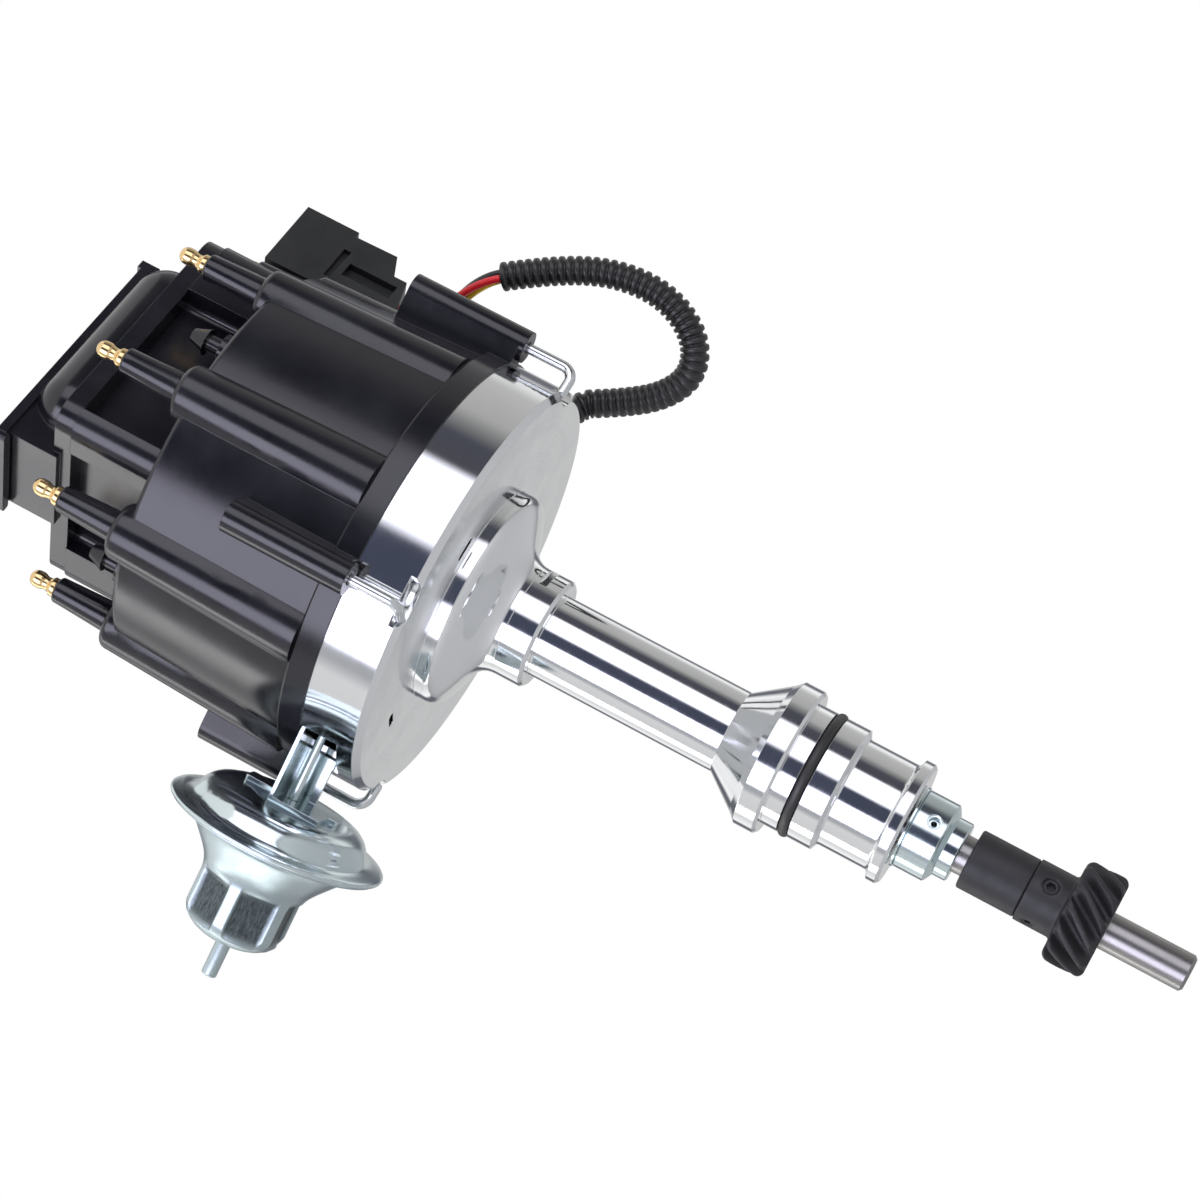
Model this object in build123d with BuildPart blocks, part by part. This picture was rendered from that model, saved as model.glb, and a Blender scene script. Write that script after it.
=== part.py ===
from build123d import *
import os
from math import atan2, cos, degrees, radians, sin, tan

# An eight-cylinder ignition distributor with its coil in the cap.
# Millimetres. +Z runs up the shaft towards the cap. The origin is on the shaft's axis, in the
# plane where the housing's flange rests on the engine block. The four latches lie on X and Y.

os.makedirs("parts", exist_ok=True)

# Fits between pieces
running = 0.04
free_gap = 0.4

# Shaft and gear, measured down from the block seat
shaft_r = 5.93
stub_r = 5.7
shaft_top = 139.5
gear_bottom = -102.4
stub_length = 26.7
shaft_end_chamfer = 0.9
hex_across_flats = 7.94
hex_depth = 12.7
gear_tip_r = 16.02
gear_root_r = 12.4
gear_height = 13.35
gear_teeth = 13
gear_twist = 40.0
tooth_base = 4.6
tooth_tip = 2.0
tooth_bevel = 0.9
hub_r = 9.72
hub_height = 11.95
sleeve_r = 9.25
sleeve_height = 18.6
set_screw_r = 2.4
set_screw_hex = 1.25
hub_screw_angle = -56.3
roll_pin_r = 1.6

# Housing foot, which enters the block
pilot_r = 19.48
upper_land = 5.3
o_ring_section_r = 1.75
o_ring_r_out = 20.15
lower_land_end = 16.3
recess_r = 17.1
recess_start = 17.4
recess_end = 33.7
end_flange_r = 19.45
end_flange_start = 34.6
foot_end = 38.3

# Housing above the seat
seat_flange_r = 23.25
seat_flange_h = 7.0
cone_bottom_z = 9.2
cone_bottom_r = 21.1
cone_top_z = 20.0
column_r = 13.05
neck_z = 81.6
neck_r = 17.5
neck_slot_angle = -16.2
neck_slot_z = 88.2
neck_slot_w = 2.6
neck_slot_depth = 1.1
flare_z = 95.5
flare_fillet = 5.0
disc_r = 34.5
disc_top_z = 101.7
bowl_under_z = 107.9
bowl_edge_z = 109.8
joint_z = 127.2
bowl_r = 66.8
bowl_wall = 5.3
bowl_floor_z = 111.9
housing_bore_r = 8.2
boss_r = 14.0
boss_top_z = 119.0
lower_bushing_top = -12.0
upper_bushing_bottom = 84.0
vent_slot_r = 36.6
post_r = 4.0
post_bore_r = 1.6
bracket_posts = ((-46.0, -28.0), (-36.0, -42.0))
module_r_out = 58.5
module_r_in = 41.5
module_start = 92.0
module_turn = 58.0
module_h = 9.0
module_screw_r = 1.5
module_screws = ((-9.0, 49.5), (-39.0, 31.5))

# Thrust collar and washers under the foot
washer_r = 12.8
washer_stack = 1.2
collar_r = 12.35
collar_height = 10.1
collar_neck_r = 9.27
collar_taper = 1.4
collar_neck = 4.3
collar_hole_angle = -59.0
collar_hole_z = -45.4

# Pickup, timer core and advance weights inside the bowl
plate_r = 29.0
plate_bottom_z = 113.2
plate_t = 1.8
pickup_arm_r = 35.1
pole_r_out = 30.6
pole_r_in = 19.0
pole_tooth_r = 28.4
pole_bottom_z = 120.6
pole_top_z = 128.0
pole_tooth_w = 4.0
timer_tooth_r = 27.6
timer_body_r = 22.5
timer_bottom_z = 123.6
timer_hub_r = 9.0
timer_hub_bottom_z = 119.6
weight_base_z = 130.0
weight_base_t = 2.0
weight_pin_circle = 22.0
weight_pin_r = 3.0
weight_t = 4.0
weight_r_out = 26.5
weight_r_in = 14.5
weight_turn = 128.0
rotor_base_z = 140.6
rotor_base_t = 3.4
rotor_arm_top = 155.0
rotor_tower_top = 168.0
rotor_tip_r = 55.0
rotor_angle = 22.5
contact_t = 1.2

# Cap
cap_rim_lip = 0.6
cap_rim_h = 7.8
cap_wall_step = 1.9
cap_wall_draft = 3.0
cap_top_z = 195.0
cap_wall = 4.3
cap_cavity_draft = 2.6
cap_roof_z = 188.0
tower_count = 8
first_tower = 22.5
terminal_inset = 7.46
rib_top_r = 8.8
rib_foot_r = 11.2
lobe_top_z = 199.0
tower_base_r = 5.0
tower_top_r = 4.05
tower_edge_r = 0.9
tower_top_z = 218.3
inner_boss_r = 5.2
inner_boss_z = 165.0
terminal_pin_r = 2.1
electrode_z = 151.0
terminal_tip_z = 227.7
snap_circle_r = 50.0
button_r = 4.0
button_bottom_z = 172.0
button_top_z = 186.0
terminal_collar_r = 3.0
terminal_neck_r = 2.1
terminal_stud_r = 2.65

# Coil housing on the cap, turned by an eighth of a turn; its front faces the connector
coil_half = 39.5
coil_back = 40.5
coil_front = 47.5
coil_corner_r = 8.0
coil_top_z = 224.3
side_bay_back = 34.0
side_bay_front = 22.5
side_bay_depth = 8.0
back_bay_left = 20.7
back_bay_right = 25.0
back_bay_depth = 6.0
pocket_half_x = 30.0
pocket_half_y = 25.0
coil_clearance = 1.0
winding_x = 29.0
winding_y = 26.0
winding_top_z = 231.0
core_leg = 11.0
pocket_floor_z = 200.0
core_bottom_z = 212.0
core_top_z = 226.0
coil_screw_x = 20.0
coil_screw_y = 16.2
coil_screw_r = 2.0

# Coil cover; its tail hangs over the end of the coil housing
cover_plate_z = 244.6
cover_plate_t = 3.0
cover_half = 22.8
cover_far_x = 35.0
cover_tail_x = -43.0
cover_tail_y = 12.0
cover_tail_z = 228.0
cover_tail_step = -27.0
cover_inset = 1.4
cover_rim_set = 0.8
cover_rim_h = 5.9
cover_dome_half = 31.0
cover_dome_back = 33.0
cover_dome_front = 39.0
cover_dome_r = 11.0
cover_dome_rise = 0.8
cover_wall = 4.0
screw_head_r = 3.7
screw_head_h = 1.9
screw_head_sink = 2.2

# Connector block at the cap's side
block_half = 20.0
block_top_z = 220.4
block_out_x = 88.5
block_inner_x = 65.5
block_neck_half = 14.0

# Latches
latch_stand_off = 6.45
latch_post_r = 5.0
latch_post_top = 165.0
latch_post_bottom = 125.5
latch_wire_r = 1.6
latch_bend_r = 4.0
latch_reach = 9.6
latch_hook_z = 109.5
latch_turn_at_rest = 30.0
latch_scallop_r = 10.4
latch_scallop_top = 111.6
latch_bore_r = 1.95
latch_pocket_r = 3.7
latch_pocket_z = 148.0
latch_washer_z = 158.4
latch_washer_t = 0.8
latch_head_r = 3.3
latch_head_t = 2.4

# Vacuum canister, its axis along X
vac_y = -35.0
vac_z = 122.0
vac_flange_x = -82.2
vac_r = 34.0
vac_face_x = -77.5
vac_shell_t = 1.2
vac_rod_r = 1.3
vac_body_end_x = -118.5
vac_nipple_r = 2.35
vac_nipple_tip_x = -131.2
rod_pin_r = 1.5
rod_pin_gap = 0.45
bracket_top_z = 126.8
bracket_t = 1.2
bracket_y_near = -44.0
bracket_y_far = -27.0

# Harness: the loom's route, then the three wires that leave it
loom_r = 4.55
wire_r = 1.2
grommet_angle = 41.0
grommet_z = 117.5
grommet_r = 5.4

wire_holes = ((62.0, 42.0), (60.0, 46.0), (57.5, 49.5))
wire_hole_top = 181.0

# Worked out from the values above
stub_end = gear_bottom - stub_length
gear_top = gear_bottom + gear_height
hub_top = gear_top + hub_height
sleeve_top = hub_top + sleeve_height
foot_z = -foot_end
collar_top = foot_z - washer_stack
collar_bottom = collar_top - collar_height
collar_end = collar_bottom - collar_taper - collar_neck
o_ring_centre_r = o_ring_r_out - o_ring_section_r
groove_r = o_ring_centre_r - o_ring_section_r - 0.05
groove_bottom = -(upper_land + 2 * o_ring_section_r + 0.1)
o_ring_z = -(upper_land + o_ring_section_r + 0.05)
plate_top_z = plate_bottom_z + plate_t
weight_z = weight_base_z + weight_base_t + free_gap
rotor_out = (cos(radians(rotor_angle)), sin(radians(rotor_angle)), 0)
rotor_angle_plane = Plane(origin=(0, 0, 0), x_dir=rotor_out)
coil_plane = Plane(origin=(0, 0, 0), x_dir=(1, 1, 0), z_dir=(0, 0, 1))
vac_plane = Plane(origin=(0, vac_y, vac_z), x_dir=(-1, 0, 0), z_dir=(0, 0, 1))
vac_axis = Axis((0, vac_y, vac_z), (1, 0, 0))
head_seat_z = latch_washer_z + latch_washer_t + 0.3
bowl_cavity_r = bowl_r - bowl_wall
cap_rim_r = bowl_r + cap_rim_lip
cap_wall_foot_r = cap_rim_r - cap_wall_step
cap_wall_top_r = cap_wall_foot_r - cap_wall_draft
cap_cavity_r = cap_wall_foot_r - cap_wall
cap_cavity_top_r = cap_cavity_r - cap_cavity_draft
terminal_circle_r = cap_wall_foot_r - terminal_inset
latch_circle_r = bowl_r + latch_stand_off
cover_rim_z = coil_top_z + cover_rim_h
cover_head_z = cover_plate_z + cover_plate_t - screw_head_sink


def save(piece, name):
    """Labels a finished piece and writes its file."""
    piece.part.label = name
    export_step(piece.part, f"parts/{name}.step")


def radial_plane(angle, z, r):
    """A plane facing outwards at that angle, height and distance from the shaft's axis."""
    out = (cos(radians(angle)), sin(radians(angle)), 0)
    return Plane(origin=(r * out[0], r * out[1], z), x_dir=(0, 0, 1), z_dir=out)


def on_circle(r, angle):
    """A point at that angle on a circle round the origin."""
    return (r * cos(radians(angle)), r * sin(radians(angle)))


def bend_radii(points):
    """The radius of each inner corner, from its shorter run and its turn."""
    radii = []
    for before, corner, after in zip(points, points[1:], points[2:]):
        turn = radians((corner - before).get_angle(after - corner))
        shorter = min((corner - before).length, (after - corner).length)
        radii.append(0.45 * shorter / tan(turn / 2))
    return radii


def helix_spring(mean_r, wire, bottom, top, turns):
    """A closed coil of square wire standing on the plane z = bottom."""
    with BuildPart() as spring:
        with BuildLine(Plane.XY.offset(bottom + wire / 2)) as coil:
            Helix(pitch=(top - bottom - wire) / turns, height=top - bottom - wire, radius=mean_r)
        with BuildSketch(Plane(origin=coil.line @ 0, z_dir=coil.line % 0)):
            RegularPolygon(wire / 2, 6)
        sweep(path=coil.line, is_frenet=True)
    return spring.part


# Main shaft, with the drive socket in its lower end
with BuildPart() as main_shaft:
    with BuildSketch(Plane.XY.offset(stub_end)):
        Circle(shaft_r)
    extrude(amount=shaft_top - stub_end)
    # The end below the gear is ground a little thinner
    with BuildSketch(Plane.XY.offset(stub_end)):
        Circle(shaft_r + 1.0)
        Circle(stub_r, mode=Mode.SUBTRACT)
    extrude(amount=stub_length, mode=Mode.SUBTRACT)
    shaft_ends = main_shaft.edges().filter_by(GeomType.CIRCLE).sort_by(Axis.Z)
    chamfer(shaft_ends[0], shaft_end_chamfer)
    with BuildSketch(Plane.XY.offset(stub_end)):
        RegularPolygon(hex_across_flats / 2, 6, major_radius=False)
    extrude(amount=hex_depth, mode=Mode.SUBTRACT)
    with BuildSketch(radial_plane(hub_screw_angle + 90, hub_top - 4.5, 0)):
        Circle(roll_pin_r)
    extrude(amount=hub_r, both=True, mode=Mode.SUBTRACT)
    with BuildSketch(radial_plane(collar_hole_angle, collar_hole_z, 0)):
        Circle(1.7)
    extrude(amount=collar_r, mode=Mode.SUBTRACT)
save(main_shaft, "main_shaft")

# Drive gear: helical teeth below a plain hub. One tooth is twisted and bevelled, then repeated.
with BuildPart() as gear_tooth:
    with BuildSketch(Plane.XY.offset(gear_bottom)) as tooth_outline:
        with BuildLine():
            Polyline(
                (gear_root_r - 0.6, -tooth_base / 2),
                (gear_tip_r, -tooth_tip / 2),
                (gear_tip_r, tooth_tip / 2),
                (gear_root_r - 0.6, tooth_base / 2),
                close=True,
            )
        make_face()
    add(
        Solid.extrude_linear_with_rotation(
            tooth_outline.sketch.faces()[0],
            center=(0, 0, gear_bottom),
            normal=(0, 0, gear_height),
            angle=gear_twist,
        )
    )
    with BuildSketch(Plane.XZ):
        with BuildLine():
            Polyline(
                (0, gear_bottom),
                (gear_tip_r - tooth_bevel, gear_bottom),
                (gear_tip_r + 0.2, gear_bottom + tooth_bevel + 0.2),
                (gear_tip_r + 0.2, gear_top - tooth_bevel - 0.2),
                (gear_tip_r - tooth_bevel, gear_top),
                (0, gear_top),
                close=True,
            )
        make_face()
    revolve(axis=Axis.Z, mode=Mode.INTERSECT)
with BuildPart() as drive_gear:
    with BuildSketch(Plane.XY.offset(gear_bottom)):
        Circle(gear_root_r)
    extrude(amount=gear_height)
    with PolarLocations(0, gear_teeth):
        add(gear_tooth.part)
    with BuildSketch(Plane.XY.offset(gear_top)):
        Circle(hub_r)
    extrude(amount=hub_height)
    with BuildSketch(Plane.XY.offset(gear_bottom)):
        Circle(shaft_r)
    extrude(amount=gear_height + hub_height, mode=Mode.SUBTRACT)
    with BuildSketch(radial_plane(hub_screw_angle + 90, hub_top - 4.5, 0)):
        Circle(roll_pin_r)
    extrude(amount=hub_r + 1, both=True, mode=Mode.SUBTRACT)
    with BuildSketch(radial_plane(hub_screw_angle, hub_top - 6.0, 0)):
        Circle(set_screw_r)
    extrude(amount=hub_r + 1, mode=Mode.SUBTRACT)
save(drive_gear, "drive_gear")

# Roll pin through the hub and the shaft
with BuildPart() as gear_roll_pin:
    with BuildSketch(radial_plane(hub_screw_angle + 90, hub_top - 4.5, -hub_r + 0.4)):
        Circle(roll_pin_r)
        Circle(roll_pin_r - 0.6, mode=Mode.SUBTRACT)
    extrude(amount=2 * hub_r - 0.8)
save(gear_roll_pin, "gear_roll_pin")

# Socket set screw in the hub, against the shaft
with BuildPart() as gear_set_screw:
    with BuildSketch(radial_plane(hub_screw_angle, hub_top - 6.0, shaft_r + 0.05)):
        Circle(set_screw_r)
    extrude(amount=hub_r - shaft_r - 0.9)
    with BuildSketch(radial_plane(hub_screw_angle, hub_top - 6.0, hub_r - 0.85)):
        RegularPolygon(set_screw_hex, 6, major_radius=False)
    extrude(amount=-1.6, mode=Mode.SUBTRACT)
save(gear_set_screw, "gear_set_screw")

# Plain black sleeve above the hub
with BuildPart() as gear_sleeve:
    with BuildSketch(Plane.XY.offset(hub_top)):
        Circle(sleeve_r)
        Circle(shaft_r, mode=Mode.SUBTRACT)
    extrude(amount=sleeve_height)
    sleeve_edges = gear_sleeve.edges().filter_by(GeomType.CIRCLE)
    chamfer(sleeve_edges.filter_by(lambda e: e.radius > sleeve_r - 0.1), 0.4)
save(gear_sleeve, "gear_sleeve")

# Thrust collar: turned, with a tapered neck and a cross hole
with BuildPart() as thrust_collar:
    with BuildSketch(Plane.XZ):
        with BuildLine():
            Polyline(
                (shaft_r, collar_top),
                (collar_r - 0.4, collar_top),
                (collar_r, collar_top - 0.4),
                (collar_r, collar_bottom + 0.5),
                (collar_r - 0.5, collar_bottom),
                (collar_neck_r, collar_bottom - collar_taper),
                (collar_neck_r, collar_end + 0.4),
                (collar_neck_r - 0.4, collar_end),
                (shaft_r, collar_end),
                close=True,
            )
        make_face()
    revolve(axis=Axis.Z)
    with BuildSketch(radial_plane(collar_hole_angle, collar_hole_z, 0)):
        Circle(1.7)
    extrude(amount=collar_r + 1, mode=Mode.SUBTRACT)
    with BuildSketch(radial_plane(collar_hole_angle, collar_hole_z, collar_r - 0.5)):
        Circle(2.2)
    extrude(amount=2.0, mode=Mode.SUBTRACT)
save(thrust_collar, "thrust_collar")

# Pin that fixes the collar, sunk in its cross hole
with BuildPart() as collar_pin:
    with BuildSketch(radial_plane(collar_hole_angle, collar_hole_z, 1.0)):
        Circle(1.7)
        Circle(0.9, mode=Mode.SUBTRACT)
    extrude(amount=collar_r - 3.0)
save(collar_pin, "collar_pin")

# Thrust washer between the collar and the foot, free of both
with BuildPart() as thrust_washer:
    with BuildSketch(Plane.XY.offset(collar_top)):
        Circle(washer_r)
        Circle(shaft_r, mode=Mode.SUBTRACT)
    extrude(amount=washer_stack - free_gap)
save(thrust_washer, "thrust_washer")

# Housing: one turned casting from the bowl down to the foot
with BuildPart() as housing:
    with BuildSketch(Plane.XZ):
        with BuildLine():
            Polyline(
                (housing_bore_r, foot_z),
                (end_flange_r - 0.9, foot_z),
                (end_flange_r, foot_z + 0.9),
                (end_flange_r, -end_flange_start),
                (recess_r, -recess_end),
                (recess_r, -recess_start),
                (pilot_r, -lower_land_end),
                (pilot_r, groove_bottom),
                (groove_r, groove_bottom),
                (groove_r, -upper_land),
                (pilot_r, -upper_land),
                (pilot_r, 0),
                (seat_flange_r - 0.85, 0),
                (seat_flange_r, 0.9),
                (seat_flange_r, seat_flange_h),
                (cone_bottom_r, cone_bottom_z),
                (column_r, cone_top_z),
                (column_r, neck_z),
                (neck_r - 1.0, neck_z),
                (neck_r, neck_z + 1.0),
                (neck_r, flare_z),
                (disc_r, disc_top_z + 0.2),
                (disc_r, bowl_under_z),
                (bowl_r - 2.0, bowl_under_z),
                (bowl_r, bowl_edge_z),
                (bowl_r, joint_z),
                (bowl_cavity_r, joint_z),
                (bowl_cavity_r, bowl_floor_z),
                (boss_r, bowl_floor_z),
                (boss_r, boss_top_z),
                (housing_bore_r, boss_top_z),
                close=True,
            )
        make_face()
        profile_corners = vertices()
        fillet(profile_corners.sort_by_distance((neck_r, flare_z))[0], flare_fillet)
        fillet(vertices().sort_by_distance((disc_r, disc_top_z + 0.2))[0], 1.5)
        fillet(vertices().sort_by_distance((recess_r, -recess_end))[0], 1.0)
        fillet(vertices().sort_by_distance((recess_r, -recess_start))[0], 1.0)
    revolve(axis=Axis.Z)
    # Scallops under the rim, one round each latch
    with BuildSketch(Plane.XY.offset(bowl_under_z - 1.0)):
        with PolarLocations(latch_circle_r, 4):
            Circle(latch_scallop_r)
    extrude(amount=latch_scallop_top - bowl_under_z + 1.0, mode=Mode.SUBTRACT)
    # Slot in the wall for the canister's bracket and rod
    with BuildSketch(Plane.XY.offset(joint_z)):
        with Locations((-bowl_r + 3.0, (bracket_y_near + bracket_y_far) / 2)):
            Rectangle(48.0, bracket_y_far - bracket_y_near + 1.4)
    extrude(amount=-(joint_z - 115.0), mode=Mode.SUBTRACT)
    # Two posts for the canister's bracket
    with BuildSketch(Plane.XY.offset(bowl_floor_z)):
        with Locations(*bracket_posts):
            Circle(post_r)
    extrude(amount=bracket_top_z - bracket_t - bowl_floor_z)
    with BuildSketch(Plane.XY.offset(bowl_floor_z)):
        with Locations(*bracket_posts):
            Circle(post_bore_r)
    extrude(amount=bracket_top_z - bracket_t - bowl_floor_z, mode=Mode.SUBTRACT)
    # Flat-bottomed slot milled in the neck
    with BuildSketch(radial_plane(neck_slot_angle, neck_slot_z, neck_r - neck_slot_depth)):
        SlotOverall(14.0, neck_slot_w, rotation=90)
    extrude(amount=2.0, mode=Mode.SUBTRACT)
    # Hole for the harness grommet
    with BuildSketch(radial_plane(grommet_angle, grommet_z, 56.0)):
        Circle(grommet_r)
    extrude(amount=20.0, mode=Mode.SUBTRACT)
    # Drain slots through the bowl's floor
    with BuildSketch(Plane.XY.offset(bowl_under_z - 1.0)):
        with PolarLocations(vent_slot_r + 3.0, 1, start_angle=-65):
            SlotOverall(8.0, 3.2, rotation=90)
        with PolarLocations(47.4, 1, start_angle=-147):
            SlotOverall(7.0, 2.4, rotation=90)
    extrude(amount=8.0, mode=Mode.SUBTRACT)
    # Screw holes of the ignition module
    with BuildSketch(Plane.XY.offset(bowl_under_z + 0.8)):
        with Locations(*module_screws):
            Circle(module_screw_r)
    extrude(amount=8.0, mode=Mode.SUBTRACT)
save(housing, "housing")

with BuildPart() as lower_bushing:
    with BuildSketch(Plane.XY.offset(foot_z)):
        Circle(housing_bore_r)
        Circle(shaft_r + running, mode=Mode.SUBTRACT)
    extrude(amount=lower_bushing_top - foot_z)
save(lower_bushing, "lower_bushing")

with BuildPart() as upper_bushing:
    with BuildSketch(Plane.XY.offset(upper_bushing_bottom)):
        Circle(housing_bore_r)
        Circle(shaft_r + running, mode=Mode.SUBTRACT)
    extrude(amount=boss_top_z - upper_bushing_bottom)
save(upper_bushing, "upper_bushing")

with BuildPart() as housing_o_ring:
    with BuildSketch(Plane.XZ):
        with Locations((o_ring_centre_r, o_ring_z)):
            Circle(o_ring_section_r)
    revolve(axis=Axis.Z)
save(housing_o_ring, "housing_o_ring")

# Pickup plate, which turns on the boss; the rod's pin stands on its arm
rod_arm_angle = -86.1
with BuildPart() as pickup_plate:
    with BuildSketch(Plane.XY.offset(plate_bottom_z)):
        Circle(plate_r)
        with Locations(Rot(0, 0, rod_arm_angle) * Pos(pickup_arm_r - 3.0, 0)):
            SlotOverall(15.0, 9.0)
        Circle(boss_r + running, mode=Mode.SUBTRACT)
    extrude(amount=plate_t)
    with BuildSketch(Plane.XY.offset(plate_top_z)):
        with Locations(Rot(0, 0, rod_arm_angle) * Pos(pickup_arm_r, 0)):
            Circle(rod_pin_r)
    extrude(amount=vac_z + 2.0 - plate_top_z)
save(pickup_plate, "pickup_plate")

with BuildPart() as pickup_coil:
    with BuildSketch(Plane.XY.offset(plate_top_z)):
        Circle(25.5)
        Circle(16.5, mode=Mode.SUBTRACT)
    extrude(amount=pole_bottom_z - plate_top_z)
save(pickup_coil, "pickup_coil")

# Pole piece: a flat ring with eight teeth that stand round the timer core
with BuildPart() as pole_piece:
    with BuildSketch(Plane.XY.offset(pole_bottom_z)):
        Circle(pole_r_out)
        Circle(pole_r_in, mode=Mode.SUBTRACT)
    extrude(amount=1.6)
    with BuildSketch(Plane.XY.offset(pole_bottom_z + 1.6)) as pole_teeth:
        with PolarLocations((pole_r_out + pole_tooth_r) / 2, tower_count, start_angle=first_tower):
            Rectangle(pole_r_out - pole_tooth_r - 0.3, pole_tooth_w)
    extrude(amount=pole_top_z - pole_bottom_z - 1.6)
save(pole_piece, "pole_piece")

# Timer core: eight teeth on a hub that turns a little on the shaft
with BuildPart() as timer_core:
    with BuildSketch(Plane.XY.offset(timer_bottom_z)):
        Circle(timer_body_r)
        with PolarLocations((timer_body_r + timer_tooth_r) / 2, tower_count, start_angle=first_tower):
            Rectangle(timer_tooth_r - timer_body_r + 1.0, 3.6)
        Circle(timer_tooth_r, mode=Mode.INTERSECT)
    extrude(amount=4.0)
    with BuildSketch(Plane.XY.offset(timer_hub_bottom_z)):
        Circle(timer_hub_r)
    extrude(amount=weight_base_z + weight_base_t - timer_hub_bottom_z)
    with BuildSketch(Plane.XY.offset(timer_hub_bottom_z)):
        Circle(shaft_r + running)
    extrude(amount=20.0, mode=Mode.SUBTRACT)
save(timer_core, "timer_core")

# Weight base: an oval plate on the timer core's hub, with the two pins of the weights
with BuildPart() as weight_base:
    with BuildSketch(Plane.XY.offset(weight_base_z)):
        Circle(18.0)
        SlotOverall(2 * weight_pin_circle + 12.0, 12.0)
        Circle(timer_hub_r, mode=Mode.SUBTRACT)
    extrude(amount=weight_base_t)
    with BuildSketch(Plane.XY.offset(weight_base_z + weight_base_t)):
        with Locations((weight_pin_circle, 0), (-weight_pin_circle, 0)):
            Circle(weight_pin_r)
            Circle(1.3, mode=Mode.SUBTRACT)
    extrude(amount=rotor_base_z - weight_base_z - weight_base_t)
save(weight_base, "weight_base")

# Centre plate, fixed on the shaft's end between the weights
with BuildPart() as centre_plate:
    with BuildSketch(Plane.XY.offset(weight_z)):
        Circle(8.6)
        SlotOverall(20.0, 7.0, rotation=90)
        Circle(shaft_r, mode=Mode.SUBTRACT)
    extrude(amount=weight_t)
save(centre_plate, "centre_plate")

# Two advance weights, each a crescent that swings out on its own pin
for number, half_turn in ((1, 0), (2, 180)):
    with BuildPart() as advance_weight:
        with BuildSketch(Plane.XY.offset(weight_z)):
            with BuildLine():
                CenterArc((0, 0), weight_r_out, 0, weight_turn)
                CenterArc((0, 0), weight_r_in, 0, weight_turn)
                Line((weight_r_out, 0), (weight_r_in, 0))
                Line(on_circle(weight_r_out, weight_turn), on_circle(weight_r_in, weight_turn))
            make_face()
            with Locations((weight_pin_circle, 0)):
                Circle(5.6)
            with Locations((weight_pin_circle, 0)):
                Circle(weight_pin_r + running, mode=Mode.SUBTRACT)
        extrude(amount=weight_t)
    with BuildPart() as placed_weight:
        with Locations(Rot(0, 0, half_turn)):
            add(advance_weight.part)
    save(placed_weight, f"advance_weight_{number}")

# Rotor: moulded, on the two pins, its arm towards the first terminal
with BuildPart() as rotor:
    with BuildSketch(Plane.XY.offset(rotor_base_z)):
        Circle(31.0)
    extrude(amount=rotor_base_t)
    with BuildSketch(rotor_angle_plane.offset(rotor_base_z + rotor_base_t)):
        with Locations((20.0, 0)):
            Rectangle(60.0, 13.0)
    extrude(amount=rotor_arm_top - rotor_base_z - rotor_base_t)
    with BuildSketch(Plane.XY.offset(rotor_base_z)):
        Circle(11.0)
    extrude(amount=rotor_tower_top - rotor_base_z)
    # Seats of the two screws
    with BuildSketch(Plane.XY.offset(rotor_base_z)):
        with Locations((weight_pin_circle, 0), (-weight_pin_circle, 0)):
            Circle(1.6)
    extrude(amount=40.0, mode=Mode.SUBTRACT)
    with BuildSketch(Plane.XY.offset(rotor_base_z + rotor_base_t)):
        with Locations((weight_pin_circle, 0), (-weight_pin_circle, 0)):
            Circle(4.4)
    extrude(amount=40.0, mode=Mode.SUBTRACT)
save(rotor, "rotor")

# Rotor contact: a brass strip from the button down the tower and out along the arm
with BuildPart() as rotor_contact:
    with BuildSketch(Plane(origin=(0, 0, 0), x_dir=rotor_out, z_dir=rotor_angle_plane.y_dir * -1)):
        with BuildLine():
            Polyline(
                (-6.0, rotor_tower_top),
                (11.0, rotor_tower_top),
                (11.0, rotor_arm_top),
                (rotor_tip_r, rotor_arm_top),
                (rotor_tip_r, rotor_arm_top + contact_t),
                (11.0 + contact_t, rotor_arm_top + contact_t),
                (11.0 + contact_t, rotor_tower_top + contact_t),
                (3.0, rotor_tower_top + contact_t),
                (2.0, button_bottom_z - free_gap),
                (-2.0, button_bottom_z - free_gap),
                (-3.0, rotor_tower_top + contact_t),
                (-6.0, rotor_tower_top + contact_t),
                close=True,
            )
        make_face()
    extrude(amount=4.5, both=True)
save(rotor_contact, "rotor_contact")

with BuildPart() as rotor_screws:
    with BuildSketch(Plane.XY.offset(rotor_base_z - 5.0)):
        with Locations((weight_pin_circle, 0), (-weight_pin_circle, 0)):
            Circle(1.3)
    extrude(amount=5.0 + rotor_base_t)
    with BuildSketch(Plane.XY.offset(rotor_base_z + rotor_base_t)):
        with Locations((weight_pin_circle, 0), (-weight_pin_circle, 0)):
            Circle(3.0)
    extrude(amount=2.2)
    with BuildSketch(Plane.XY.offset(rotor_base_z + rotor_base_t + 2.2)):
        with Locations((weight_pin_circle, 0), (-weight_pin_circle, 0)):
            Rectangle(7.0, 0.8)
    extrude(amount=-0.9, mode=Mode.SUBTRACT)
save(rotor_screws, "rotor_screws")

# Ignition module on the bowl's floor, with two screws
with BuildPart() as ignition_module:
    with BuildSketch(Plane.XY.offset(bowl_floor_z)):
        with BuildLine():
            CenterArc((0, 0), module_r_out, module_start, module_turn)
            CenterArc((0, 0), module_r_in, module_start, module_turn)
            Line(on_circle(module_r_out, module_start), on_circle(module_r_in, module_start))
            Line(
                on_circle(module_r_out, module_start + module_turn),
                on_circle(module_r_in, module_start + module_turn),
            )
        make_face()
    extrude(amount=module_h)
    with BuildSketch(Plane.XY.offset(bowl_floor_z)):
        with Locations(*module_screws):
            Circle(module_screw_r)
    extrude(amount=module_h, mode=Mode.SUBTRACT)
save(ignition_module, "ignition_module")

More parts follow.
